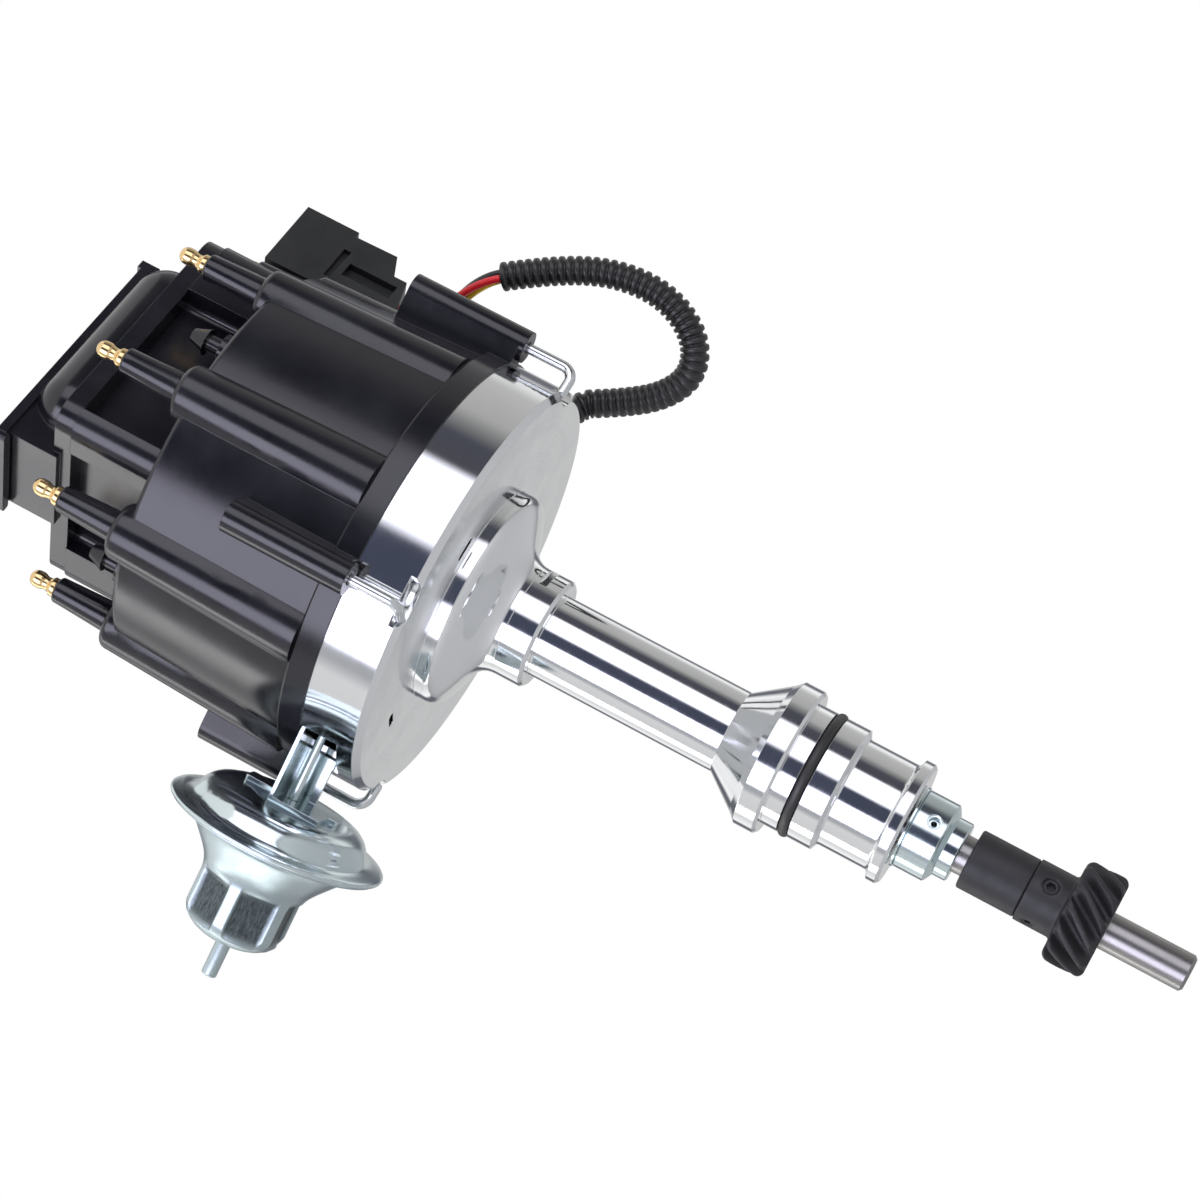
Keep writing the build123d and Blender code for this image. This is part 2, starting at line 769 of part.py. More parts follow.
with BuildPart() as housing_screws:
    with BuildSketch(Plane.XY.offset(bowl_floor_z - 2.0)):
        with Locations(*module_screws):
            Circle(module_screw_r)
    extrude(amount=module_h + 2.0)
    with BuildSketch(Plane.XY.offset(bowl_floor_z + module_h)):
        with Locations(*module_screws):
            Circle(3.0)
    extrude(amount=2.0)
    with BuildSketch(Plane.XY.offset(bowl_floor_z + 4.0)):
        with Locations(*bracket_posts):
            Circle(post_bore_r)
    extrude(amount=bracket_top_z - bowl_floor_z - 4.0)
    with BuildSketch(Plane.XY.offset(bracket_top_z)):
        with Locations(*bracket_posts):
            Circle(3.2)
    extrude(amount=2.0)
save(housing_screws, "housing_screws")

with BuildPart() as capacitor:
    with BuildSketch(Plane(origin=(50.0, -16.0, bowl_floor_z + 5.0), x_dir=(1, 0, 0), z_dir=(0, 1, 0))):
        Circle(5.0)
    extrude(amount=20.0)
    chamfer(capacitor.edges().filter_by(GeomType.CIRCLE), 0.6)
save(capacitor, "capacitor")

# Cap: one moulding with eight ribs and towers, four latch posts and the coil housing
with BuildPart() as distributor_cap:
    with BuildSketch(Plane.XZ):
        with BuildLine():
            Polyline(
                (0, joint_z),
                (cap_rim_r, joint_z),
                (cap_rim_r, joint_z + cap_rim_h - 0.6),
                (cap_rim_r - 0.6, joint_z + cap_rim_h),
                (cap_wall_foot_r, joint_z + cap_rim_h),
                (cap_wall_top_r, cap_top_z),
                (0, cap_top_z),
                close=True,
            )
        make_face()
        fillet(vertices().sort_by_distance((cap_wall_top_r, cap_top_z))[0], 2.0)
    revolve(axis=Axis.Z)
    # Ribs, wider at the foot than at the top
    rib_height = lobe_top_z - joint_z - cap_rim_h
    with BuildSketch(Plane.XY.offset(lobe_top_z)):
        with PolarLocations(terminal_circle_r, tower_count, start_angle=first_tower):
            Circle(rib_top_r)
    extrude(amount=-rib_height, taper=-degrees(atan2(rib_foot_r - rib_top_r, rib_height)))
    rib_rims = distributor_cap.edges().filter_by(GeomType.CIRCLE)
    rib_rims = rib_rims.filter_by(lambda e: abs(e.radius - rib_top_r) < 0.01)
    rib_rims = rib_rims.filter_by(lambda e: e.center().Z > lobe_top_z - 0.1)
    fillet(rib_rims, 2.4)
    # Latch posts
    with BuildSketch(Plane.XY.offset(joint_z)):
        with PolarLocations(latch_circle_r, 4):
            Circle(latch_post_r)
        with PolarLocations(latch_circle_r - 6.0, 4):
            Rectangle(12.0, 2 * latch_post_r)
    extrude(amount=latch_post_top - joint_z)
    with BuildSketch(Plane.XY.offset(latch_post_bottom)):
        with PolarLocations(latch_circle_r, 4):
            Circle(latch_post_r)
    extrude(amount=joint_z - latch_post_bottom)
    # Towers
    tower_foot_z = lobe_top_z - 1.0
    with BuildSketch(Plane.XY.offset(tower_foot_z)):
        with PolarLocations(terminal_circle_r, tower_count, start_angle=first_tower):
            Circle(tower_base_r)
    tower_h = tower_top_z - tower_foot_z
    extrude(amount=tower_h, taper=degrees(atan2(tower_base_r - tower_top_r, tower_h)))
    tower_rims = distributor_cap.edges().filter_by(GeomType.CIRCLE)
    fillet(tower_rims.filter_by(lambda e: e.center().Z > tower_top_z - 0.1), tower_edge_r)
    # Coil housing, with a bay between its corners on three sides
    with BuildSketch(coil_plane.offset(cap_top_z - 3.0)):
        with Locations(((coil_front - coil_back) / 2, 0)):
            RectangleRounded(coil_front + coil_back, 2 * coil_half, coil_corner_r)
    extrude(amount=coil_top_z - cap_top_z + 3.0)
    side_bay_length = side_bay_front + side_bay_back
    with BuildSketch(coil_plane.offset(cap_top_z)):
        with Locations(((side_bay_front - side_bay_back) / 2, coil_half)):
            RectangleRounded(side_bay_length, 2 * side_bay_depth, 2.0)
        with Locations(((side_bay_front - side_bay_back) / 2, -coil_half)):
            RectangleRounded(side_bay_length, 2 * side_bay_depth, 2.0)
        with Locations((-coil_back, -(back_bay_right - back_bay_left) / 2)):
            RectangleRounded(2 * back_bay_depth, back_bay_right + back_bay_left, 2.0)
    extrude(amount=coil_top_z - cap_top_z, mode=Mode.SUBTRACT)
    # Snap posts between the towers, each with an arrow head above a collar
    with BuildSketch(Plane.XY.offset(cap_top_z - 1.0)):
        with PolarLocations(snap_circle_r, 4, start_angle=45):
            Circle(5.0)
    extrude(amount=5.0)
    with BuildSketch(Plane.XY.offset(cap_top_z)):
        with PolarLocations(snap_circle_r, 3, start_angle=135, angular_range=270):
            Circle(2.6)
    extrude(amount=12.0)
    with BuildSketch(Plane.XY.offset(cap_top_z + 9.0)):
        with PolarLocations(snap_circle_r, 3, start_angle=135, angular_range=270):
            Circle(4.2)
    extrude(amount=5.0, taper=22)
    # Hollow inside, then the bosses that hold the terminals and the button
    with BuildSketch(Plane.XY.offset(joint_z)):
        Circle(cap_cavity_r)
    cavity_height = cap_roof_z - joint_z
    cavity_taper = degrees(atan2(cap_cavity_r - cap_cavity_top_r, cavity_height))
    extrude(amount=cavity_height, taper=cavity_taper, mode=Mode.SUBTRACT)
    with BuildSketch(Plane.XY.offset(inner_boss_z)):
        with PolarLocations(terminal_circle_r, tower_count, start_angle=first_tower):
            Circle(inner_boss_r)
    extrude(amount=cap_roof_z - inner_boss_z + 1.0)
    with BuildSketch(Plane.XY.offset(button_bottom_z + 4.0)):
        Circle(7.5)
    extrude(amount=cap_roof_z - button_bottom_z - 3.0)
    with BuildSketch(Plane.XY.offset(joint_z)):
        with PolarLocations(terminal_circle_r, tower_count, start_angle=first_tower):
            Circle(terminal_pin_r)
    extrude(amount=tower_top_z - joint_z + 1.0, mode=Mode.SUBTRACT)
    with BuildSketch(Plane.XY.offset(button_bottom_z)):
        Circle(button_r + 0.05)
    extrude(amount=pocket_floor_z - button_bottom_z, mode=Mode.SUBTRACT)
    # Coil pocket with four screw posts
    with BuildSketch(coil_plane.offset(pocket_floor_z)):
        RectangleRounded(2 * pocket_half_x, 2 * pocket_half_y, 3.0)
    extrude(amount=coil_top_z - pocket_floor_z, mode=Mode.SUBTRACT)
    with BuildSketch(coil_plane.offset(pocket_floor_z)):
        with GridLocations(2 * coil_screw_x, 2 * coil_screw_y, 2, 2):
            Circle(3.4)
            Circle(coil_screw_r, mode=Mode.SUBTRACT)
    extrude(amount=core_bottom_z - pocket_floor_z)
    # Bores of the latch posts
    with BuildSketch(Plane.XY.offset(latch_post_bottom - 1.0)):
        with PolarLocations(latch_circle_r, 4):
            Circle(latch_bore_r)
    extrude(amount=latch_post_top, mode=Mode.SUBTRACT)
    with BuildSketch(Plane.XY.offset(latch_pocket_z)):
        with PolarLocations(latch_circle_r, 4):
            Circle(latch_pocket_r)
    extrude(amount=latch_post_top, mode=Mode.SUBTRACT)
save(distributor_cap, "distributor_cap")

# Brass terminals: long pins that end in a neck and a rounded tip
with BuildPart() as plug_terminals:
    with BuildSketch(Plane.XZ) as terminal_profile:
        with BuildLine():
            Polyline(
                (0, electrode_z),
                (terminal_pin_r, electrode_z),
                (terminal_pin_r, tower_top_z),
                (terminal_collar_r, tower_top_z),
                (terminal_collar_r, tower_top_z + 1.8),
                (terminal_neck_r, tower_top_z + 2.6),
                (terminal_neck_r, tower_top_z + 4.2),
                (terminal_stud_r, tower_top_z + 5.0),
                (terminal_stud_r, terminal_tip_z - 2.0),
                (terminal_stud_r - 1.0, terminal_tip_z - 0.4),
                (0, terminal_tip_z),
                close=True,
            )
        make_face()
    terminal = revolve(terminal_profile.sketch, axis=Axis.Z, mode=Mode.PRIVATE)
    with PolarLocations(terminal_circle_r, tower_count, start_angle=first_tower):
        add(terminal)
save(plug_terminals, "plug_terminals")

with BuildPart() as carbon_button:
    with BuildSketch(Plane.XY.offset(button_bottom_z)):
        Circle(button_r)
    extrude(amount=button_top_z - button_bottom_z)
    fillet(carbon_button.edges().filter_by(GeomType.CIRCLE).sort_by(Axis.Z)[0], 1.2)
save(carbon_button, "carbon_button")

with BuildPart() as button_spring:
    add(helix_spring(2.9, 0.9, button_top_z, pocket_floor_z, 5))
save(button_spring, "button_spring")

# Ignition coil: the winding with its lower terminal, and the laminated core round it
with BuildPart() as ignition_coil:
    with BuildSketch(coil_plane.offset(pocket_floor_z + 1.0)):
        RectangleRounded(winding_x, winding_y, 3.0)
    extrude(amount=winding_top_z - pocket_floor_z - 1.0)
    with BuildSketch(Plane.XY.offset(pocket_floor_z)):
        Circle(3.0)
    extrude(amount=1.5)
    with BuildSketch(coil_plane.offset(core_bottom_z)):
        Rectangle(2 * winding_x, core_leg)
    extrude(amount=core_top_z - core_bottom_z, mode=Mode.SUBTRACT)
save(ignition_coil, "ignition_coil")

with BuildPart() as coil_core:
    with BuildSketch(coil_plane.offset(core_bottom_z)):
        Rectangle(2 * (pocket_half_x - coil_clearance), 2 * (pocket_half_y - coil_clearance))
        Rectangle(winding_x, winding_y, mode=Mode.SUBTRACT)
        Rectangle(winding_x + 1.0, core_leg)
        with GridLocations(2 * coil_screw_x, 2 * coil_screw_y, 2, 2):
            Circle(coil_screw_r, mode=Mode.SUBTRACT)
    extrude(amount=core_top_z - core_bottom_z)
save(coil_core, "coil_core")

# Coil cover: a rim on the housing, a dome with rounded shoulders, and a plate with a tail
with BuildPart() as coil_cover:
    with BuildSketch(coil_plane.offset(cover_rim_z)):
        with Locations(((cover_dome_front - cover_dome_back) / 2, 0)):
            RectangleRounded(cover_dome_front + cover_dome_back, 2 * cover_dome_half, cover_dome_r + 1.0)
    extrude(amount=cover_plate_z + cover_dome_rise - cover_rim_z)
    fillet(coil_cover.faces().sort_by(Axis.Z)[-1].edges(), cover_dome_r)
    with BuildSketch(coil_plane.offset(coil_top_z)):
        with Locations(((coil_front - coil_back) / 2, 0)):
            RectangleRounded(
                coil_front + coil_back - 2 * cover_rim_set,
                2 * (coil_half - cover_rim_set),
                coil_corner_r - cover_rim_set,
            )
    extrude(amount=cover_rim_h)
    with BuildSketch(coil_plane.offset(cover_plate_z)):
        with BuildLine():
            Polyline(
                (cover_far_x, -cover_half),
                (cover_far_x, cover_half),
                (cover_tail_step, cover_half),
                (cover_tail_step, cover_tail_y),
                (cover_tail_x, cover_tail_y),
                (cover_tail_x, -cover_half),
                close=True,
            )
        make_face()
    extrude(amount=cover_plate_t)
    # Tail, which hangs over the end of the rim
    with BuildSketch(coil_plane.offset(cover_tail_z)):
        with BuildLine():
            Polyline(
                (cover_tail_x + cover_inset, cover_inset - cover_half),
                (-winding_x / 2, cover_inset - cover_half),
                (-winding_x / 2, cover_tail_y - cover_inset),
                (cover_tail_x + cover_inset, cover_tail_y - cover_inset),
                close=True,
            )
        make_face()
    extrude(amount=cover_plate_z - cover_tail_z)
    # Room for the coil under the dome
    with BuildSketch(coil_plane.offset(coil_top_z)):
        Rectangle(2 * (pocket_half_x - coil_clearance), 2 * (cover_dome_half - cover_wall))
    extrude(amount=cover_plate_z - cover_dome_r - coil_top_z, mode=Mode.SUBTRACT)
    with BuildSketch(coil_plane.offset(coil_top_z)):
        Rectangle(2 * (cover_dome_back - cover_dome_r), 2 * (cover_dome_half - cover_dome_r - cover_wall))
    extrude(amount=cover_plate_z - coil_top_z, mode=Mode.SUBTRACT)
    # Screw bosses down to the core
    with BuildSketch(coil_plane.offset(core_top_z)):
        with GridLocations(2 * coil_screw_x, 2 * coil_screw_y, 2, 2):
            Circle(coil_screw_r + 1.2)
    extrude(amount=cover_plate_z - core_top_z)
    with BuildSketch(coil_plane.offset(core_top_z)):
        with GridLocations(2 * coil_screw_x, 2 * coil_screw_y, 2, 2):
            Circle(coil_screw_r)
    extrude(amount=cover_plate_z + cover_plate_t - core_top_z, mode=Mode.SUBTRACT)
    with BuildSketch(coil_plane.offset(cover_plate_z + cover_plate_t)):
        with GridLocations(2 * coil_screw_x, 2 * coil_screw_y, 2, 2):
            Circle(screw_head_r + 0.2)
    extrude(amount=-screw_head_sink, mode=Mode.SUBTRACT)
    # Lip at the tail's end and a small hook at the far end
    with BuildSketch(coil_plane.offset(cover_plate_z - 1.0)):
        with Locations((cover_tail_x - 1.0, (cover_tail_y - cover_half) / 2)):
            RectangleRounded(3.0, cover_half + cover_tail_y, 1.0)
    extrude(amount=cover_plate_t + 1.0)
    with BuildSketch(coil_plane.offset(cover_plate_z - 2.0)):
        with Locations((cover_far_x + 0.5, 3.0 - cover_half)):
            Rectangle(3.0, 6.0)
    extrude(amount=cover_plate_t + 3.2)
save(coil_cover, "coil_cover")

with BuildPart() as cover_screws:
    with BuildSketch(coil_plane.offset(pocket_floor_z + 3.0)):
        with GridLocations(2 * coil_screw_x, 2 * coil_screw_y, 2, 2):
            Circle(coil_screw_r)
    extrude(amount=cover_head_z - pocket_floor_z - 3.0)
    with BuildSketch(coil_plane.offset(cover_head_z)):
        with GridLocations(2 * coil_screw_x, 2 * coil_screw_y, 2, 2):
            Circle(screw_head_r)
    extrude(amount=screw_head_h)
    with BuildSketch(coil_plane.offset(cover_head_z + screw_head_h)):
        with GridLocations(2 * coil_screw_x, 2 * coil_screw_y, 2, 2):
            Rectangle(4.6, 0.9)
            Rectangle(0.9, 4.6)
    extrude(amount=-1.2, mode=Mode.SUBTRACT)
save(cover_screws, "cover_screws")

# Connector block: a hollow moulding beside the cap, joined to the coil housing by a neck
side_plane = Plane(origin=(0, 0, 0), x_dir=coil_plane.x_dir, z_dir=coil_plane.y_dir * -1)
with BuildPart() as coil_connector:
    with BuildSketch(side_plane):
        with BuildLine():
            Polyline(
                (block_inner_x, 199.6),
                (block_inner_x - 3.0, 199.6),
                (block_inner_x - 3.0, block_top_z),
                (block_out_x, block_top_z),
                (block_out_x, 201.8),
                (86.4, 201.8),
                (86.8, 186.9),
                (79.2, 183.6),
                (79.2, 179.1),
                (block_inner_x, 175.5),
                close=True,
            )
        make_face()
    extrude(amount=block_half, both=True)
    with BuildSketch(coil_plane.offset(199.6)):
        with Locations(((coil_front + block_inner_x) / 2, 0)):
            Rectangle(block_inner_x - coil_front, 2 * block_neck_half)
    extrude(amount=block_top_z - 199.6)
    # Grooves on both sides
    with BuildSketch(side_plane):
        with Locations((73.0, 189.0)):
            Rectangle(5.6, 17.0)
        with Locations((73.5, 200.8)):
            Rectangle(13.0, 2.6)
    extrude(amount=block_half + 1.0, both=True, mode=Mode.SUBTRACT)
    with BuildSketch(side_plane):
        with Locations((73.0, 190.0)):
            Rectangle(30.0, 34.0)
        with BuildLine():
            Polyline(
                (block_inner_x, 199.6),
                (86.4, 199.6),
                (86.8, 186.9),
                (79.2, 183.6),
                (79.2, 179.1),
                (block_inner_x, 175.5),
                close=True,
            )
        make_face(mode=Mode.INTERSECT)
    extrude(amount=block_half - 3.0, both=True)
    with BuildSketch(side_plane):
        with Locations((73.5, 200.8)):
            Rectangle(13.0, 2.8)
    extrude(amount=block_half - 2.0, both=True)
    # Two sockets open downwards
    with BuildSketch(coil_plane.offset(170.0)):
        with Locations((82.5, 8.5), (82.5, -8.5)):
            Rectangle(6.2, 13.0)
    extrude(amount=32.0, mode=Mode.SUBTRACT)
    # Holes for the three wires
    with BuildSketch(Plane.XY.offset(170.0)):
        with Locations(*wire_holes):
            Circle(wire_r + 0.04)
    extrude(amount=wire_hole_top - 170.0, mode=Mode.SUBTRACT)
save(coil_connector, "coil_connector")

with BuildPart() as connector_blades:
    with BuildSketch(coil_plane.offset(190.0)):
        with Locations((82.5, 11.5), (82.5, 5.5), (82.5, -8.5)):
            Rectangle(0.8, 4.0)
    extrude(amount=12.0)
save(connector_blades, "connector_blades")

# Vacuum canister's bracket: a channel from the bowl out to the canister's face
with BuildPart() as vacuum_bracket:
    with BuildSketch(Plane.XY.offset(bracket_top_z - bracket_t)):
        with BuildLine():
            Polyline(
                (vac_face_x, bracket_y_near),
                (-42.6, bracket_y_near),
                (-36.0, -46.4),
                (-31.5, -44.0),
                (-31.5, -39.0),
                (-41.0, -24.0),
                (-50.0, -24.0),
                (-52.0, bracket_y_far),
                (vac_face_x, bracket_y_far),
                close=True,
            )
        make_face()
    extrude(amount=bracket_t)
    with BuildSketch(Plane.XY.offset(bracket_top_z - bracket_t)):
        with Locations(*bracket_posts):
            Circle(post_bore_r)
    extrude(amount=bracket_t, mode=Mode.SUBTRACT)
    # Back cheek of the channel
    with BuildSketch(Plane.XY.offset(bracket_top_z - 10.0)):
        with Locations(((vac_face_x - 58.0) / 2, bracket_y_far - bracket_t / 2)):
            Rectangle(-58.0 - vac_face_x, bracket_t)
    extrude(amount=10.0)
    # Foot on the canister's face, with its side tabs
    with BuildSketch(Plane.YZ.offset(vac_face_x)):
        with Locations(((bracket_y_near + bracket_y_far) / 2, 118.4)):
            Rectangle(bracket_y_far - bracket_y_near, 16.8)
        with Locations((-31.0, 122.5)):
            RectangleRounded(7.0, 31.0, 1.0)
        with Locations((vac_y, vac_z)):
            Circle(vac_rod_r + 0.6, mode=Mode.SUBTRACT)
    extrude(amount=1.5)
save(vacuum_bracket, "vacuum_bracket")

# Canister's front shell: a pressed dome with a rolled flange
with BuildPart() as vacuum_front_shell:
    with BuildSketch(vac_plane):
        with BuildLine():
            Polyline(
                (-vac_face_x, vac_rod_r + 0.6),
                (-vac_face_x, 22.5),
                (-vac_face_x + 1.2, 25.0),
                (-vac_face_x + 3.6, 26.6),
                (-vac_flange_x - 0.6, 28.6),
                (-vac_flange_x - 0.2, vac_r - 0.6),
                (-vac_flange_x + 0.3, vac_r),
                (-vac_flange_x + 1.3, vac_r),
                (-vac_flange_x + 1.3, vac_r - 1.0),
                (-vac_flange_x + 0.7, vac_r - 1.0),
                (-vac_flange_x + 0.4, 28.0),
                (-vac_face_x + 4.6, 25.6),
                (-vac_face_x + 2.2, 24.2),
                (-vac_face_x + vac_shell_t, 22.0),
                (-vac_face_x + vac_shell_t, vac_rod_r + 0.6),
                close=True,
            )
        make_face()
    revolve(axis=vac_axis)
save(vacuum_front_shell, "vacuum_front_shell")

# Rear shell: a cone down to a body with six pressed panels, and the hose nipple
with BuildPart() as vacuum_rear_shell:
    with BuildSketch(vac_plane):
        with BuildLine():
            Polyline(
                (-vac_flange_x + 2.4, vac_r - 1.1),
                (-vac_flange_x + 2.4, 27.2),
                (90.2, 22.6),
                (96.0, 18.0),
                (100.0, 16.4),
                (112.0, 16.0),
                (116.6, 12.6),
                (-vac_body_end_x, 8.5),
                (-vac_body_end_x, vac_nipple_r),
                (-vac_nipple_tip_x - 0.5, vac_nipple_r),
                (-vac_nipple_tip_x, vac_nipple_r - 0.5),
                (-vac_nipple_tip_x, 1.3),
                (117.0, 1.3),
                (117.0, 8.0),
                (115.4, 11.0),
                (111.0, 12.2),
                (100.0, 12.4),
                (90.0, 20.6),
                (-vac_flange_x + 1.3, 25.6),
                (-vac_flange_x + 1.3, vac_r - 1.1),
                close=True,
            )
        make_face()
        fillet(vertices().sort_by_distance((112.0, 16.0))[0], 3.0)
    revolve(axis=vac_axis)
    # Six hollows pressed into its sides
    with BuildSketch(Plane.YZ.offset(-114.0)):
        with Locations((vac_y, vac_z)):
            with PolarLocations(20.0, 6, start_angle=30):
                Rectangle(12.0, 12.5)
    extrude(amount=13.0, mode=Mode.SUBTRACT)
save(vacuum_rear_shell, "vacuum_rear_shell")

diaphragm_plate_r = 17.0
with BuildPart() as vacuum_diaphragm:
    with BuildSketch(vac_plane):
        with BuildLine():
            Polyline(
                (-vac_flange_x + 0.75, vac_r - 1.1),
                (-vac_flange_x + 0.5, 28.0),
                (-vac_flange_x + 0.5, diaphragm_plate_r + free_gap),
                (-vac_flange_x + 1.25, diaphragm_plate_r + free_gap),
                (-vac_flange_x + 1.25, vac_r - 1.1),
                close=True,
            )
        make_face()
    revolve(axis=vac_axis)
save(vacuum_diaphragm, "vacuum_diaphragm")

with BuildPart() as diaphragm_plate:
    with BuildSketch(Plane.YZ.offset(vac_flange_x - 0.5)):
        with Locations((vac_y, vac_z)):
            Circle(diaphragm_plate_r)
    extrude(amount=-0.9)
save(diaphragm_plate, "diaphragm_plate")

# Pull rod, flattened into an eye round the pickup plate's pin
pin_x = pickup_arm_r * cos(radians(rod_arm_angle))
with BuildPart() as vacuum_rod:
    with BuildSketch(Plane.YZ.offset(vac_flange_x - 0.5)):
        with Locations((vac_y, vac_z)):
            Circle(vac_rod_r)
    extrude(amount=pin_x - vac_flange_x - 2.5)
    with BuildSketch(Plane.XY.offset(vac_z - 0.8)):
        with Locations((pin_x, vac_y)):
            Circle(3.6)
    extrude(amount=1.6)
    with BuildSketch(Plane.XY.offset(vac_z - 0.8)):
        with Locations((pin_x, vac_y)):
            Circle(rod_pin_r + rod_pin_gap)
    extrude(amount=1.6, mode=Mode.SUBTRACT)
save(vacuum_rod, "vacuum_rod")

# Latches: a wire hook with a slotted head, on a washer and a spring inside each post
one_spring = helix_spring(2.7, 0.9, latch_pocket_z, latch_washer_z, 4)
for number, around in ((1, -90), (2, 0), (3, 180), (4, 90)):
    axis_x, axis_y = on_circle(latch_circle_r, around)
    heading = around + 180 + latch_turn_at_rest
    out = on_circle(latch_reach - latch_wire_r, heading)
    hook_tip = (axis_x + out[0], axis_y + out[1], latch_hook_z)
    with BuildPart() as latch_hook:
        with BuildLine() as hook_route:
            FilletPolyline(
                (axis_x, axis_y, head_seat_z + 0.5),
                (axis_x, axis_y, latch_hook_z),
                hook_tip,
                radius=latch_bend_r,
            )
        with BuildSketch(Plane(origin=(axis_x, axis_y, head_seat_z + 0.5), z_dir=(0, 0, -1))):
            Circle(latch_wire_r)
        sweep(path=hook_route.line)
        with Locations(hook_tip):
            Sphere(latch_wire_r)
        with BuildSketch(Plane.XY.offset(head_seat_z)):
            with Locations((axis_x, axis_y)):
                Circle(latch_head_r)
        extrude(amount=latch_head_t)
        with BuildSketch(Plane.XY.offset(head_seat_z + latch_head_t)):
            with Locations((axis_x, axis_y)):
                Rectangle(8.0, 1.0, rotation=heading)
        extrude(amount=-1.1, mode=Mode.SUBTRACT)
    save(latch_hook, f"latch_hook_{number}")
    with BuildPart() as latch_washer:
        with BuildSketch(Plane.XY.offset(latch_washer_z)):
            with Locations((axis_x, axis_y)):
                Circle(latch_head_r)
                Circle(latch_wire_r + running, mode=Mode.SUBTRACT)
        extrude(amount=latch_washer_t)
    save(latch_washer, f"latch_washer_{number}")
    with BuildPart() as latch_spring:
        with Locations((axis_x, axis_y, 0)):
            add(one_spring)
    save(latch_spring, f"latch_spring_{number}")

# Harness grommet in the bowl's wall
with BuildPart() as harness_grommet:
    with BuildSketch(radial_plane(grommet_angle, grommet_z, 59.0)):
        Circle(grommet_r)
        Circle(loom_r, mode=Mode.SUBTRACT)
    extrude(amount=bowl_r + 1.5 - 59.0)
    with BuildSketch(radial_plane(grommet_angle, grommet_z, bowl_r + 0.2)):
        Circle(grommet_r + 1.5)
        Circle(loom_r, mode=Mode.SUBTRACT)
    extrude(amount=1.3)
save(harness_grommet, "harness_grommet")

# Corrugated loom from the grommet round to the wires. Each corner gets its own radius.
grommet_out = Vector(cos(radians(grommet_angle)), sin(radians(grommet_angle)), 0)
loom_points = [
    grommet_out * 59.5 + Vector(0, 0, grommet_z),
    grommet_out * 78.2 + Vector(0, 0, grommet_z),
    Vector(66.0, 51.0, 104.0),
    Vector(74.5, 48.0, 91.5),
    Vector(85.0, 45.0, 85.5),
    Vector(96.0, 43.0, 90.0),
    Vector(103.0, 41.0, 103.0),
    Vector(102.5, 39.5, 120.0),
    Vector(95.0, 38.5, 137.5),
    Vector(85.5, 38.0, 151.5),
]

with BuildPart() as harness_loom:
    with BuildLine() as loom_route:
        FilletPolyline(*loom_points, radius=bend_radii(loom_points))
    with BuildSketch(Plane(origin=loom_route.line @ 0, z_dir=loom_route.line % 0)):
        Circle(loom_r)
    sweep(path=loom_route.line)
save(harness_loom, "harness_loom")
loom_face = Plane(origin=loom_route.line @ 1, x_dir=(0, 1, 0), z_dir=loom_route.line % 1)
for name, shift, hole in (
    ("red_wire", (-2.6, 0.6), wire_holes[0]),
    ("black_wire", (0.0, -1.2), wire_holes[1]),
    ("yellow_wire", (2.6, 0.6), wire_holes[2]),
):
    start = loom_face.from_local_coords((shift[0], shift[1], 0.05))
    route = [
        start,
        start + loom_face.z_dir * 7.0,
        Vector(hole[0] + 5.0, hole[1] - 2.0, 165.5),
        Vector(hole[0], hole[1], 171.5),
        Vector(hole[0], hole[1], wire_hole_top),
    ]
    with BuildPart() as wire:
        with BuildLine() as wire_route:
            FilletPolyline(*route, radius=bend_radii(route))
        with BuildSketch(Plane(origin=wire_route.line @ 0, z_dir=wire_route.line % 0)):
            Circle(wire_r)
        sweep(path=wire_route.line)
    save(wire, name)
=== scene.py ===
"""Finishes, harness, plating and light for an eight-cylinder ignition distributor."""

import logging
from dataclasses import dataclass
from enum import Enum
from math import atan2, ceil, cos, degrees, pi, radians, sin, tau

import bmesh
import bpy
from mathutils import Matrix, Vector


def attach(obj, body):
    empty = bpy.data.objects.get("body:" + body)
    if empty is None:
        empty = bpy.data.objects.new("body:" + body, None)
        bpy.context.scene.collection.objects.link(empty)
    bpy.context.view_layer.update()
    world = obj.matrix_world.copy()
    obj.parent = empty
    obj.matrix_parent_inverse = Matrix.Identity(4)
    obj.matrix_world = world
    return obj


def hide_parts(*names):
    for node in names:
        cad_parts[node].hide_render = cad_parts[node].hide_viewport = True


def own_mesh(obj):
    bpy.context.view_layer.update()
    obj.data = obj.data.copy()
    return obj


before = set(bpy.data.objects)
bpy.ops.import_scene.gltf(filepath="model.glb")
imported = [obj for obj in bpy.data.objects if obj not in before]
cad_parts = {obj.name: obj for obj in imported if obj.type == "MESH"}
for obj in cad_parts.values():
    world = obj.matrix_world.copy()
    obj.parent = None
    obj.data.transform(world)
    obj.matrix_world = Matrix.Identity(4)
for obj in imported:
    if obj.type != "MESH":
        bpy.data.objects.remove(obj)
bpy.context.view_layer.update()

MM = 0.001
MERGE = 1e-6
PACKED_MERGE = 1e-7
Colour = tuple[float, float, float]
Point = tuple[float, float, float]
Outline = tuple[tuple[float, float], ...]
log = logging.getLogger("distributor")


def mm(x: float, y: float, z: float) -> Vector:
    """A point given in millimetres, in metres."""
    return Vector((x, y, z)) * MM


class Body(Enum):
    """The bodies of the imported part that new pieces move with."""

    HOUSING = "housing_body"
    SHAFT = "shaft_body"


